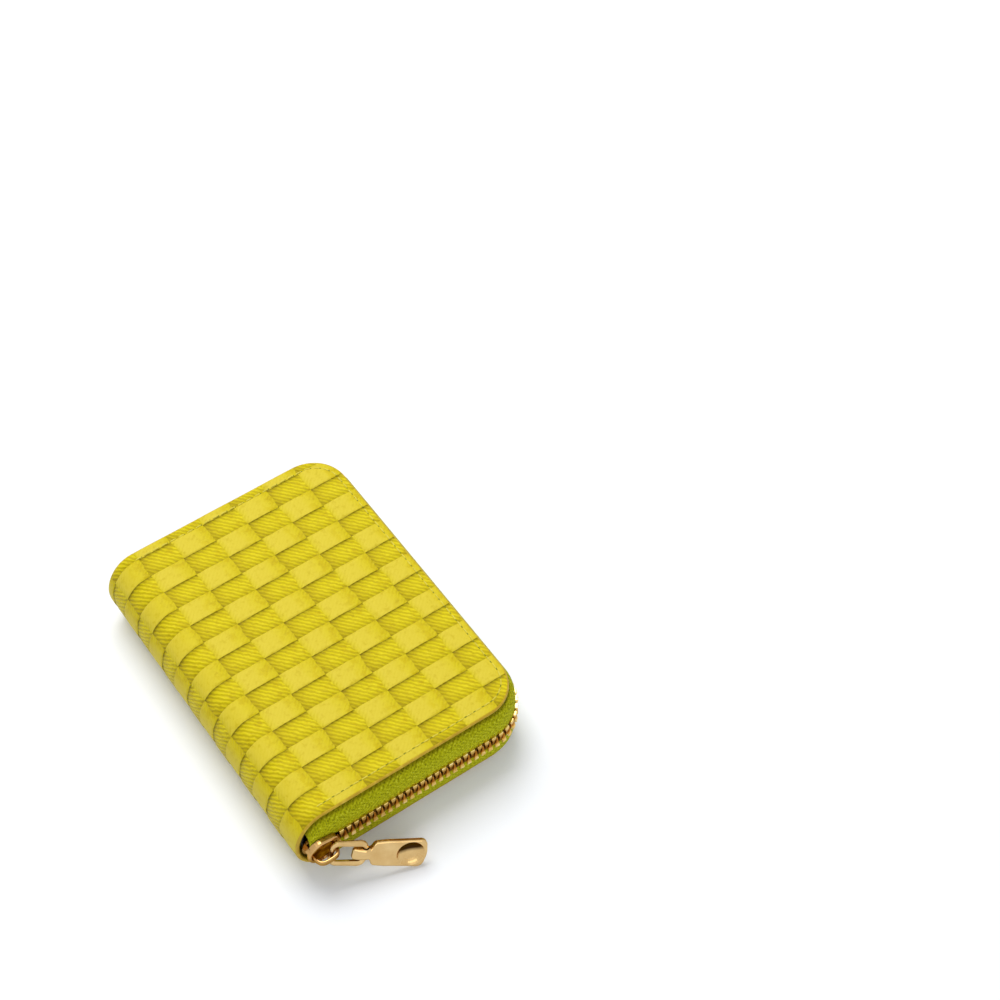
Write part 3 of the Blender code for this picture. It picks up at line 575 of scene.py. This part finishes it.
# The skin: ribs, then a fine grain with pores.
cells = add(tree, "ShaderNodeTexVoronoi", {
    "voronoi_dimensions": "2D", "feature": "DISTANCE_TO_EDGE"}, {"Vector": sheet, "Scale": 38.0})
grain = cells.outputs["Distance"]
pores = noise(tree, sheet, 60.0, detail=3.0, dimensions="2D")
ribbed = bump(tree, rib, 0.00011)
grained = bump(tree, math_node(tree, "MULTIPLY_ADD", pores, 0.5, grain), 0.00003, 0.6, ribbed)
tree.links.new(grained, shader.inputs["Normal"])
gloss = math_node(tree, "MULTIPLY_ADD", mottle, 0.22, 0.42)
tree.links.new(gloss, shader.inputs["Roughness"])
print("leather ribs 1.24 mm apart on the lower blocks")

# %% [markdown]
# The cut edge of such a wrap is turned under and its crease is wiped with edge paint, a touch
# browner than the leather. It is what draws the thin ochre line above the zip.

# %% The painted edge, and the wrap itself
edge_paint, tree, shader = new_material("wiped acrylic edge paint", Roughness=0.5)
shader.inputs["Specular IOR Level"].default_value = 0.2
wear = noise(tree, object_place(tree), 420.0, detail=4.0)
worn_paint = ramp(tree, wear, [(0.3, "#B2901A"), (0.6, "#C8A62A"), (0.8, "#DABE48")])
tree.links.new(worn_paint, shader.inputs["Base Color"])
tree.links.new(bump(tree, wear, 0.00005, 0.5), shader.inputs["Normal"])

painted = np.zeros(len(wrap_faces), int)
painted[len(quads) + len(rim):] = 1  # all but the first ring of the turned edge
wrap = sheet_object(
    "leather_wrap", wrap_places, wrap_faces, [leather, edge_paint], wrap_flat, painted)
top_face = wrap.data.polygons[(rows // 10) * (columns - 1) + columns // 2]
if top_face.normal.z < 0:
    wrap.data.flip_normals()
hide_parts("bottom_leather", "spine_leather", "top_leather")
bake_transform(wrap)
print("wrap spans", [round(v * 1000, 1) for v in wrap.dimensions], "mm")

# %% [markdown]
# ## Repeating a piece along a line
# Teeth and stitches are one small shape repeated along a path. Geometry Nodes does this with
# four steps: turn the line into a curve, space points evenly on it, put a copy of the shape on
# each point, turned to face along the line, and make the copies real so that they export.

# %% A Geometry Nodes tree for teeth and stitches
def repeat_tree():
    """Copies of a shape, evenly spaced along a line of edges."""
    tree = bpy.data.node_groups.new("repeat along a line", "GeometryNodeTree")
    kinds = {"Line": "Geometry", "Shape": "Object", "Spacing": "Float", "Finish": "Material"}
    for name, kind in kinds.items():
        tree.interface.new_socket(name, in_out="INPUT", socket_type="NodeSocket" + kind)
    tree.interface.new_socket("Copies", in_out="OUTPUT", socket_type="NodeSocketGeometry")
    given = add(tree, "NodeGroupInput")
    curve = add(tree, "GeometryNodeMeshToCurve", None, {"Mesh": given.outputs["Line"]})
    spaced = add(tree, "GeometryNodeResampleCurve", {"mode": "LENGTH"}, {
        "Curve": curve.outputs[0], "Length": given.outputs["Spacing"]})
    way = add(tree, "GeometryNodeInputTangent")
    turn = add(tree, "FunctionNodeAlignRotationToVector", {"axis": "X", "pivot_axis": "Z"}, {
        "Vector": way.outputs[0]})
    shape = add(tree, "GeometryNodeObjectInfo", {"transform_space": "ORIGINAL"}, {
        "Object": given.outputs["Shape"]})
    placed = add(tree, "GeometryNodeInstanceOnPoints", None, {
        "Points": spaced.outputs[0], "Instance": shape.outputs["Geometry"],
        "Rotation": turn.outputs[0]})
    real = add(tree, "GeometryNodeRealizeInstances", None, {0: placed.outputs[0]})
    finished = add(tree, "GeometryNodeSetMaterial", None, {
        "Geometry": real.outputs[0], "Material": given.outputs["Finish"]})
    result = add(tree, "NodeGroupOutput")
    tree.links.new(finished.outputs[0], result.inputs[0])
    return tree


REPEAT = repeat_tree()
REPEAT_INPUTS = {
    item.name: item.identifier for item in REPEAT.interface.items_tree if item.in_out == "INPUT"}
SHARP_EDGE = math.radians(40)


def plain_mesh(name, maker):
    """The plain mesh that an object's modifiers give, as a new object at the origin."""
    bpy.context.view_layer.update()
    seen_now = maker.evaluated_get(bpy.context.evaluated_depsgraph_get())
    mesh = bpy.data.meshes.new_from_object(seen_now)
    mesh.name = name
    maker.modifiers.clear()
    bpy.data.objects.remove(maker)
    made = bpy.data.objects.new(name, mesh)
    bpy.context.scene.collection.objects.link(made)
    return made


def repeat_along(name, line, shape, spacing, finish):
    """A plain mesh of copies of shape along a line of points."""
    mesh = bpy.data.meshes.new(name + " line")
    mesh.from_pydata([tuple(p) for p in line], [(i, i + 1) for i in range(len(line) - 1)], [])
    maker = bpy.data.objects.new(name + " line", mesh)
    bpy.context.scene.collection.objects.link(maker)
    modifier = maker.modifiers.new("repeat", "NODES")
    modifier.node_group = REPEAT
    modifier[REPEAT_INPUTS["Shape"]] = shape
    modifier[REPEAT_INPUTS["Spacing"]] = spacing
    modifier[REPEAT_INPUTS["Finish"]] = finish
    made = plain_mesh(name, maker)
    made.data.shade_smooth()
    made.data.set_sharp_from_angle(angle=SHARP_EDGE)
    return made


print("tree inputs:", list(REPEAT_INPUTS))

# %% [markdown]
# ## Seams
# A lockstitch holds the leather to the tape all round the three open sides. Seen from outside
# it is a row of short thread lengths, each pulled down into its needle holes. Both covers have
# one, 3.1 mm from the short ends and 2.2 mm from the mouth, with a stitch every 3 mm.

# %% The seam lines and the stitches
thread, tree, shader = new_material("waxed polyester thread", Roughness=0.6)
twist = noise(tree, object_place(tree), 900.0)
twisted = ramp(tree, twist, [(0.35, "#CBBC28"), (0.65, "#DBCC3C")])
tree.links.new(twisted, shader.inputs["Base Color"])
hole_finish, tree, shader = new_material(
    "thread in shade at a needle hole", Base_Color=linear("#7C7E16"), Roughness=0.9)


def capsule(name, length, radius, sag, sides=6):
    """A short thread length along X that dips at both ends."""
    loops = []
    turns = [2 * math.pi * k / sides for k in range(sides)]
    for t in (-1, -0.8, -0.4, 0, 0.4, 0.8, 1):
        size = radius * (0.35 if abs(t) == 1 else 1)
        x = t * length / 2
        dip = sag * abs(t) ** 3
        loops.append([(x, size * math.cos(turn), size * math.sin(turn) - dip) for turn in turns])
    return lofted(name, loops)


def seam_line(top, lift):
    """The U-shaped seam on one cover, on the embossed surface."""
    radius = CORNER_RADIUS - SEAM_FROM_END
    x_edge = HALF_LENGTH - SEAM_FROM_END
    y_edge = MOUTH_Y - SEAM_FROM_MOUTH
    line = [(x_edge, y) for y in np.linspace(TANGENT_Y + 0.001, y_edge - radius, 80)]
    for t in np.radians(np.linspace(0, 90, 24)):
        x = x_edge - radius + radius * math.cos(t)
        line.append((x, y_edge - radius + radius * math.sin(t)))
    line += [(x, y_edge) for x in np.linspace(x_edge - radius, 0, 60)]
    line += [(-x, y) for x, y in reversed(line[:-1])]
    line = np.array(line)
    s = line[:, 1] if top else TANGENT_Y + S_SPINE_END - line[:, 1]
    place, normal = wrap_point(line[:, 0], s, weave_depth(line[:, 0], s))
    return place + normal * lift


STITCH_PITCH = 0.003
STITCH_LENGTH = 0.0023
THREAD_RADIUS = 0.00022
HOLE_LENGTH = 0.0010
HOLE_RADIUS = 0.00025
HOLE_SINK = 0.00014
stitch_shape = capsule("stitch", STITCH_LENGTH, THREAD_RADIUS, THREAD_RADIUS)
hole_shape = capsule("needle hole", HOLE_LENGTH, HOLE_RADIUS, 0.0)
under_shape = capsule("stitch under", STITCH_LENGTH, THREAD_RADIUS, -THREAD_RADIUS)
seams = [
    ("top_cover", True, stitch_shape, 0.00006),
    ("bottom_cover", False, under_shape, 0.00002),
]
for body, top, shape, lift in seams:
    stitches = repeat_along(f"{body}_stitches", seam_line(top, lift), shape, STITCH_PITCH, thread)
    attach(stitches, body)
    line = seam_line(top, -HOLE_SINK)
    run = np.concatenate([[0], np.cumsum(np.linalg.norm(np.diff(line, axis=0), axis=1))])
    moved = [np.interp(run + STITCH_PITCH / 2, run, line[:, i]) for i in range(3)]
    moved = np.stack(moved, -1)[:-3]
    holes = repeat_along(f"{body}_needle_holes", moved, hole_shape, STITCH_PITCH, hole_finish)
    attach(holes, body)
    print(body, "seam:", round(run[-1] * 1000), "mm")

# %% [markdown]
# ## Zip tape
# The tape is woven polyester with a herringbone twill, dyed lime. It is tucked under the
# leather's edge, bulges out a little and stands straight at the teeth. It is swept along the
# zip's line as a closed section, with a UV map that counts along and across the tape so that
# the twill follows every bend.

# %% The zip's line
CHAIN_STRAIGHT = MOUTH_Y - CORNER_RADIUS - TANGENT_Y
CHAIN_CORNER = math.pi / 2 * (CORNER_RADIUS + TAPE_BULGE)
CHAIN_LENGTH = 2 * CHAIN_STRAIGHT + 2 * CHAIN_CORNER + 2 * (HALF_LENGTH - CORNER_RADIUS)


def zip_line(along):
    """A point on the covers' outline and the way out there, a distance along the zip."""
    if along > CHAIN_LENGTH / 2:
        point, out = zip_line(CHAIN_LENGTH - along)
        return Vector((-point.x, point.y, 0)), Vector((-out.x, out.y, 0))
    if along <= CHAIN_STRAIGHT:
        return Vector((HALF_LENGTH, TANGENT_Y + along, 0)), Vector((1, 0, 0))
    if along <= CHAIN_STRAIGHT + CHAIN_CORNER:
        turn = (along - CHAIN_STRAIGHT) / (CORNER_RADIUS + TAPE_BULGE)
        out = Vector((math.cos(turn), math.sin(turn), 0))
        corner = Vector((HALF_LENGTH - CORNER_RADIUS, MOUTH_Y - CORNER_RADIUS, 0))
        return corner + out * CORNER_RADIUS, out
    x = HALF_LENGTH - CORNER_RADIUS - (along - CHAIN_STRAIGHT - CHAIN_CORNER)
    return Vector((x, MOUTH_Y, 0)), Vector((0, 1, 0))


print("zip length:", round(CHAIN_LENGTH * 1000), "mm")

# %% The tape's weave
tape_finish, tree, shader = new_material("herringbone woven polyester tape", Roughness=0.85)
shader.inputs["Specular IOR Level"].default_value = 0.1
sheet = flat_place(tree)
along, across, _ = split(tree, sheet)
TWILL_PITCH_CM = 0.14
zigzag = math_node(tree, "PINGPONG", math_node(tree, "ADD", across, 0.10), 0.26)
wobble = math_node(tree, "MULTIPLY", noise(tree, sheet, 9.0, dimensions="2D"), 0.16)
lines = math_node(tree, "ADD", math_node(tree, "MULTIPLY_ADD", along, 0.77, zigzag), wobble)
twill = waves(tree, lines, TWILL_PITCH_CM)
picks = waves(tree, along, TWILL_PITCH_CM / 2)
crossing = math_node(tree, "MULTIPLY", picks, twill)
weave = math_node(tree, "MULTIPLY_ADD", crossing, 0.55, math_node(tree, "MULTIPLY", twill, 0.55))
fuzz = noise(tree, sheet, 14.0, detail=4.0, dimensions="2D")
worn = math_node(tree, "MULTIPLY_ADD", fuzz, 1.1, -0.05)
shade = math_node(tree, "MULTIPLY_ADD", weave, 0.31, worn)
woven = ramp(tree, shade, [
    (0.08, "#828102"), (0.42, "#ACAD04"), (0.68, "#C0C110"), (0.95, "#D8DA40")])
from_tuck = math_node(tree, "MULTIPLY_ADD", across, 1.1, -0.55)
tuck_shade = ramp(tree, from_tuck, [
    (0.0, "#D0C8A0"), (0.06, "#F4F2E6"), (0.3, "#FCFCFA"), (0.8, "#FFFFFF")])
tree.links.new(mix(tree, 1.0, woven, tuck_shade, "MULTIPLY"), shader.inputs["Base Color"])
tree.links.new(bump(tree, math_node(tree, "ADD", weave, fuzz), 0.00012), shader.inputs["Normal"])
print("twill rows 1.1 mm apart, drawn coarse so that they show")

# %% The two tapes
TAPE = 0.0006
TAPE_GAP = 0.0003
TAPE_TUCK = 0.005
TAPE_LAYER = LEATHER + TAPE_GAP + TAPE / 2
TAPE_EDGE = 0.0022  # from the middle to the tape's edge
TAPE_END = 0.006  # what is tucked in beyond the last tooth, at each end


def smooth_section(corners, count):
    """A smooth line of count points through the section's corners."""
    corners = np.array(corners)
    run = np.concatenate([[0], np.cumsum(np.linalg.norm(np.diff(corners, axis=0), axis=1))])
    at = np.linspace(0, run[-1], count)
    line = np.stack([np.interp(at, run, corners[:, i]) for i in (0, 1)], -1)
    for _ in range(6):
        line[1:-1] = (line[:-2] + 2 * line[1:-1] + line[2:]) / 4
    return line


def tape_places(upper):
    """Points and flat places of a tape's closed section at each step along the zip."""
    end_steps = np.linspace(0, TAPE_END, 7)[1:]
    chain_steps = np.linspace(0, CHAIN_LENGTH, 220)
    steps = np.concatenate([-end_steps[::-1], chain_steps, CHAIN_LENGTH + end_steps])
    places, flat_places = [], []
    for along in steps:
        point, out = zip_line(along)
        share = min(max((TANGENT_Y - point.y) / (SPINE_DEPTH - TAPE_LAYER), 0), 0.95)
        tuck = MID_Z - (MID_Z - TAPE_LAYER) * math.sqrt(1 - share * share)
        top = MID_Z - TAPE_EDGE
        rise = top - tuck
        corners = [(-TAPE_TUCK, tuck), (-0.0006, tuck), (0.0007, tuck + 0.08 * rise),
                   (0.0014, tuck + 0.30 * rise), (0.0017, tuck + 0.62 * rise), (TAPE_BULGE, top)]
        line = smooth_section(corners, 22)
        way = np.gradient(line, axis=0)
        way /= np.linalg.norm(way, axis=1)[:, None]
        side = np.stack([-way[:, 1], way[:, 0]], -1) * TAPE / 2
        section = np.concatenate([line + side, (line - side)[::-1]])
        run = np.concatenate([[0], np.cumsum(np.linalg.norm(np.diff(line, axis=0), axis=1))])
        run = np.concatenate([run, run[::-1]])
        for (a, b), across in zip(section, run):
            z = THICKNESS - b if upper else b
            places.append((point.x + out.x * a, point.y + out.y * a, z))
            flat_places.append((along, across))
    return places, flat_places, len(steps), len(section)


tapes = [("lower_tape", "bottom_cover", False), ("upper_tape", "top_cover", True)]
for name, body, upper in tapes:
    places, flat_places, count, around = tape_places(upper)
    faces = swept_faces(count, around)
    tape = turn_outwards(sheet_object(name, places, faces, [tape_finish], flat_places))
    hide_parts("lower_zip_tape" if body == "bottom_cover" else "upper_zip_tape")
    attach(tape, body)

# %% [markdown]
# ## Zip teeth
# Each tooth is pressed from brass wire and clamped over the tape's bead: two legs on the bead,
# a narrowing neck and a rounded head that reaches past the middle, between two heads of the
# other row. One tooth is modelled and the tree above repeats it, half a pitch apart on the two
# rows. The bead itself is a cord woven into the tape's edge.

# %% Brass, and one tooth
brass, tree, shader = new_material("pressed and tumbled brass", Metallic=1.0)
shader.inputs["Specular Tint"].default_value = linear("#F8E6C0")
place = object_place(tree)
stain = noise(tree, place, 700.0, detail=3.0)
_, _, height = split(tree, place)
PER_FOUR_MM = 250.0  # counts heights in units of 4 mm, which a ramp can hold
off_middle = math_node(tree, "MULTIPLY_ADD", height, PER_FOUR_MM, -MID_Z * PER_FOUR_MM)
off_middle = math_node(tree, "ABSOLUTE", off_middle)
# Painted shade: the teeth darken towards the chain's middle, where the heads interlock, and are
# brightest at the heels.
middle_shade_on_teeth = ramp(tree, off_middle, [
    (0.05, "#A67C4C"), (0.24, "#C09660"), (0.42, "#F6ECD4"), (0.62, "#FFFFFF")])
tumbled = ramp(tree, stain, [(0.3, "#DCB25E"), (0.55, "#F8D88A"), (0.8, "#FFF4C8")])
tree.links.new(mix(tree, 1.0, tumbled, middle_shade_on_teeth, "MULTIPLY"), shader.inputs["Base Color"])
tree.links.new(math_node(tree, "MULTIPLY_ADD", stain, 0.22, 0.08), shader.inputs["Roughness"])

# A tooth's outline from the clamped heel to the head: half width, height above the middle.
TOOTH_OUTLINE = [
    (0.00076, 0.0031), (0.00080, 0.0026), (0.00066, 0.0017), (0.00046, 0.0008),
    (0.00036, 0.0), (0.00028, -0.0007), (0.00020, -0.00115), (0.00009, -0.0013)]
TOOTH_BEVEL = 0.00012


def tooth_shape(name, side):
    """One tooth with its heel at the bead. side is 1 for the row on the upper tape."""
    outline = TOOTH_OUTLINE + [(-a, b) for a, b in reversed(TOOTH_OUTLINE)]
    loops = []
    for share, shrink in ((-1, 0.84), (-0.88, 1.0), (0.88, 1.0), (1, 0.84)):
        loop = []
        for a, b in outline:
            thick = 0.00070 + 0.00046 * min(max((b + 0.0010) / 0.0034, 0), 1)
            bevel = TOOTH_BEVEL * (1 - shrink) / 0.16 * (1 if b > 0 else -1)
            loop.append((a * shrink, share * thick, side * (b - bevel)))
        loops.append(loop)
    return lofted(name, loops)


def chain_line(first, last):
    """Points on the line of teeth, in the middle plane."""
    line = []
    for along in np.arange(first, last + 1e-7, TOOTH_PITCH / 10):
        point, out = zip_line(float(along))
        line.append(point + out * TAPE_BULGE + Vector((0, 0, MID_Z)))
    return line


print("tooth pitch:", TOOTH_PITCH * 1000, "mm")

# %% The two rows of teeth and their beads
# The cord is coloured dark brown as painted shade in the gaps between the teeth.
cord_shade_finish, tree, shader = new_material("woven cord painted dark brown as shade between the teeth", Roughness=0.9)
shader.inputs["Specular IOR Level"].default_value = 0.1
cord_mottle = noise(tree, object_place(tree), 500.0, detail=3.0)
cord_shade_brown = ramp(tree, cord_mottle, [(0.35, "#4A3408"), (0.65, "#6E5214")])
tree.links.new(cord_shade_brown, shader.inputs["Base Color"])
tree.links.new(bump(tree, cord_mottle, 0.0001), shader.inputs["Normal"])
BEAD_FROM_MIDDLE = 0.0015
BEAD_HALF_THICK = 0.00058
BEAD_HALF_HIGH = 0.0008
BEAD_SIDES = 8


def bead(name, first, last, side):
    """The corded edge that the teeth are clamped on."""
    places = []
    steps = np.linspace(first, last, 260)
    for along in steps:
        point, out = zip_line(float(along))
        middle = point + out * TAPE_BULGE + Vector((0, 0, MID_Z + side * BEAD_FROM_MIDDLE))
        for k in range(BEAD_SIDES):
            turn = 2 * math.pi * k / BEAD_SIDES
            outwards = out * (BEAD_HALF_THICK * math.cos(turn))
            places.append(middle + outwards + Vector((0, 0, BEAD_HALF_HIGH * math.sin(turn))))
    flat_places = [(along, k * 0.0006) for along in steps for k in range(BEAD_SIDES)]
    faces = swept_faces(len(steps), BEAD_SIDES)
    return turn_outwards(sheet_object(name, places, faces, [cord_shade_finish], flat_places))


FAR_END = CHAIN_LENGTH + 0.0029  # short of the end stops
rows_of_teeth = [
    ("lower_teeth", "bottom_cover", "lower_zip_teeth", -1, -0.00225),
    ("upper_teeth", "top_cover", "upper_zip_teeth", 1, 0.0040),
]
for name, body, cad_node, side, first in rows_of_teeth:
    teeth_count = int((FAR_END - first) / TOOTH_PITCH)
    last = first + teeth_count * TOOTH_PITCH
    one_tooth = tooth_shape(name + " one", side)
    teeth = repeat_along(name, chain_line(first, last), one_tooth, TOOTH_PITCH, brass)
    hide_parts(cad_node)
    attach(teeth, body)
    cord_edge = bead(name.replace("teeth", "bead"), first, last + 0.001, side)
    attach(cord_edge, body)
    print(name, teeth_count + 1, "teeth")

# %% [markdown]
# ## Slider and pull
# The slider, link and tab are die-cast zinc with a thin light-gold plating, polished in a
# barrel, so that they shine softly and a little unevenly. The slider's plating is drawn as a
# darker copy, with brown painted shade in its recess, and one side of the tab's dish has a
# painted dark reflection. The CAD pieces keep their own forms here.

# %% Light gold plating
# These places bound the painted shade in the slider's recess and the painted dark reflection in
# the tab's dish.
PLATE_MIDDLE = Vector((0.0586, -0.0328, MID_Z))
PLATE_HALF = (0.0003, 0.0045, 0.0040)
DISH_MIDDLE = Vector((0.0699, -0.0111, 0.0058))
DISH_RIM = (0.0039, 0.00425)
CRESCENT_CUT_MIDDLE = DISH_MIDDLE + Vector((0.01349, -0.00490, -0.00078))
CRESCENT_CUT_RIM = (0.01472, 0.01524)
TAB_FRONT = Vector((0.89147, -0.28079, 0.35559))
DISH_BACK = 0.0006  # how far behind its middle the painted dark reflection on the tab reaches


def distance_step(tree, place, middle, rim, first, last):
    """A number that goes from first to last across a rim, (near, far) metres from a middle."""
    away = add(tree, "ShaderNodeVectorMath", {"operation": "DISTANCE"}, {0: place, 1: middle})
    steps = {0: away.outputs["Value"], 1: rim[0], 2: rim[1], 3: first, 4: last}
    return add(tree, "ShaderNodeMapRange", None, steps).outputs[0]


def recess_shade_mask(tree, place):
    """1 in the slider's recess, where brown shade is painted, inside an ellipsoid round its
    middle, and 0 elsewhere.
    """
    scaled = add(tree, "ShaderNodeMapping", {"vector_type": "TEXTURE"}, {
        "Vector": place, "Location": PLATE_MIDDLE, "Scale": PLATE_HALF})
    away = add(tree, "ShaderNodeVectorMath", {"operation": "LENGTH"}, {0: scaled.outputs[0]})
    edge = {0: away.outputs["Value"], 1: 0.8, 2: 1.0, 3: 1.0, 4: 0.0}
    return add(tree, "ShaderNodeMapRange", None, edge).outputs[0]


def dish_dark_reflection(tree, place):
    """1 in a crescent of the tab's dish, between its rim and a wider round that cuts it, where a
    dark reflection is painted.
    """
    within = distance_step(tree, place, DISH_MIDDLE, DISH_RIM, 1.0, 0.0)
    outside_cut = distance_step(tree, place, CRESCENT_CUT_MIDDLE, CRESCENT_CUT_RIM, 0.0, 1.0)
    ahead = add(tree, "ShaderNodeVectorMath", {"operation": "DOT_PRODUCT"}, {
        0: place, 1: TAB_FRONT})
    back = DISH_MIDDLE.dot(TAB_FRONT) - DISH_BACK
    front = math_node(tree, "GREATER_THAN", ahead.outputs["Value"], back)
    return math_node(tree, "MULTIPLY", math_node(tree, "MULTIPLY", within, outside_cut), front)


def gold_plating(name, painted_dark_at="nothing"):
    """Light gold plating. The slider's is a darker copy as painted shade, with brown painted shade
    in its recess; the tab's has a painted dark reflection in its dish.
    """
    made, tree, shader = new_material(name, Metallic=1.0)
    recess = painted_dark_at == "recess"
    # For the slider, this tint and the colours below make a darker copy of the plating, as painted
    # shade.
    shader.inputs["Specular Tint"].default_value = linear("#D4B07C" if recess else "#F0D8B0")
    place = object_place(tree)
    haze = noise(tree, place, 260.0, detail=4.0)
    darker, lighter = ("#AE8852", "#CAA268") if recess else ("#C8A46A", "#D6B67E")
    colour = ramp(tree, haze, [(0.3, darker), (0.7, lighter)])
    if recess:
        # Painted shade: brown in the slider's recess.
        brown = ramp(tree, haze, [(0.38, "#3A2409"), (0.5, "#7A5222"), (0.62, "#B88A4A")])
        colour = mix(tree, recess_shade_mask(tree, place), colour, brown)
    if painted_dark_at == "dish":
        # Painted dark reflection: a dark crescent in one side of the tab's dish.
        colour = mix(tree, dish_dark_reflection(tree, place), colour, "#34200C")
    tree.links.new(colour, shader.inputs["Base Color"])
    tree.links.new(math_node(tree, "MULTIPLY_ADD", haze, 0.16, 0.12), shader.inputs["Roughness"])
    tree.links.new(bump(tree, haze, 0.00004, 0.35), shader.inputs["Normal"])
    return made


gold = gold_plating("light gold plated die casting")
slider_gold = gold_plating("light gold plated slider with a stained recess", "recess")
tab_gold = gold_plating("light gold plated tab with a tarnished dish", "dish")


def finish_node(node_name, *materials):
    """Give a CAD node that keeps its shape its real finish."""
    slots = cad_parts[node_name].material_slots
    for holder, finish in zip(slots, materials):
        holder.material = finish


finish_node("zip_slider", slider_gold)
finish_node("pull_link", gold)
finish_node("pull_tab", tab_gold)
for node_name in ("lower_zip_stop", "upper_zip_stop"):
    finish_node(node_name, brass)
print("slider, link and tab are gold plated, the end stops are brass")

# %% [markdown]
# ## Lining, pockets and boards
# Inside, everything is dark brown nylon: plain weave on the linings and pockets, ribbed on the
# pleated ends. These CAD pieces are already thin flat cloth, and they keep their shapes.

# %% Nylon cloth
WEFT_PITCH = 0.0005


def nylon(name, light, dark, rib_mm, rib_axis):
    """Dark nylon with fine threads and ribs a set distance apart."""
    made, tree, shader = new_material(name, Roughness=0.7)
    shader.inputs["Sheen Weight"].default_value = 0.15
    place = object_place(tree)
    axes = dict(zip("XYZ", split(tree, place)))
    warp = waves(tree, axes[rib_axis], rib_mm / 1000)
    weft = waves(tree, axes["Y"], WEFT_PITCH)
    cloth = math_node(tree, "MULTIPLY_ADD", weft, 0.4, warp)
    fade = noise(tree, place, 90.0, detail=3.0)
    level = math_node(tree, "MULTIPLY_ADD", cloth, 0.2, fade)
    tree.links.new(ramp(tree, level, [(0.25, dark), (0.8, light)]), shader.inputs["Base Color"])
    tree.links.new(bump(tree, cloth, 0.00005), shader.inputs["Normal"])
    return made


lining_cloth = nylon("brown nylon taffeta", "#3A2C27", "#1C1310", 0.6, "X")
gusset_cloth = nylon("brown ribbed nylon", "#332723", "#150E0C", 1.0, "Y")
pulp_board, tree, shader = new_material(
    "grey pulp board", Base_Color=linear("#8A857C"), Roughness=0.95)
for node_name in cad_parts:
    if "lining" in node_name or "leaf" in node_name:
        finish_node(node_name, lining_cloth)
    if "gusset" in node_name or "floor" in node_name:
        finish_node(node_name, gusset_cloth)
    if "board" in node_name:
        finish_node(node_name, pulp_board)
# Each cloth piece's cut, width by length, in metres. A pleated one is measured along its pleats.
folded_cuts = {
    "spine_lining": (0.107, 0.0268), "near_gusset": (0.058, 0.0868),
    "far_gusset": (0.058, 0.0868), "accordion_floor": (0.0914, 0.0215)}
for node_name, cut in folded_cuts.items():
    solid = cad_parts[node_name]
    cloth = bpy.data.objects.new(node_name + "_cloth", solid.data.copy())
    bpy.context.scene.collection.objects.link(cloth)
    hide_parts(node_name)
    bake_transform(cloth)
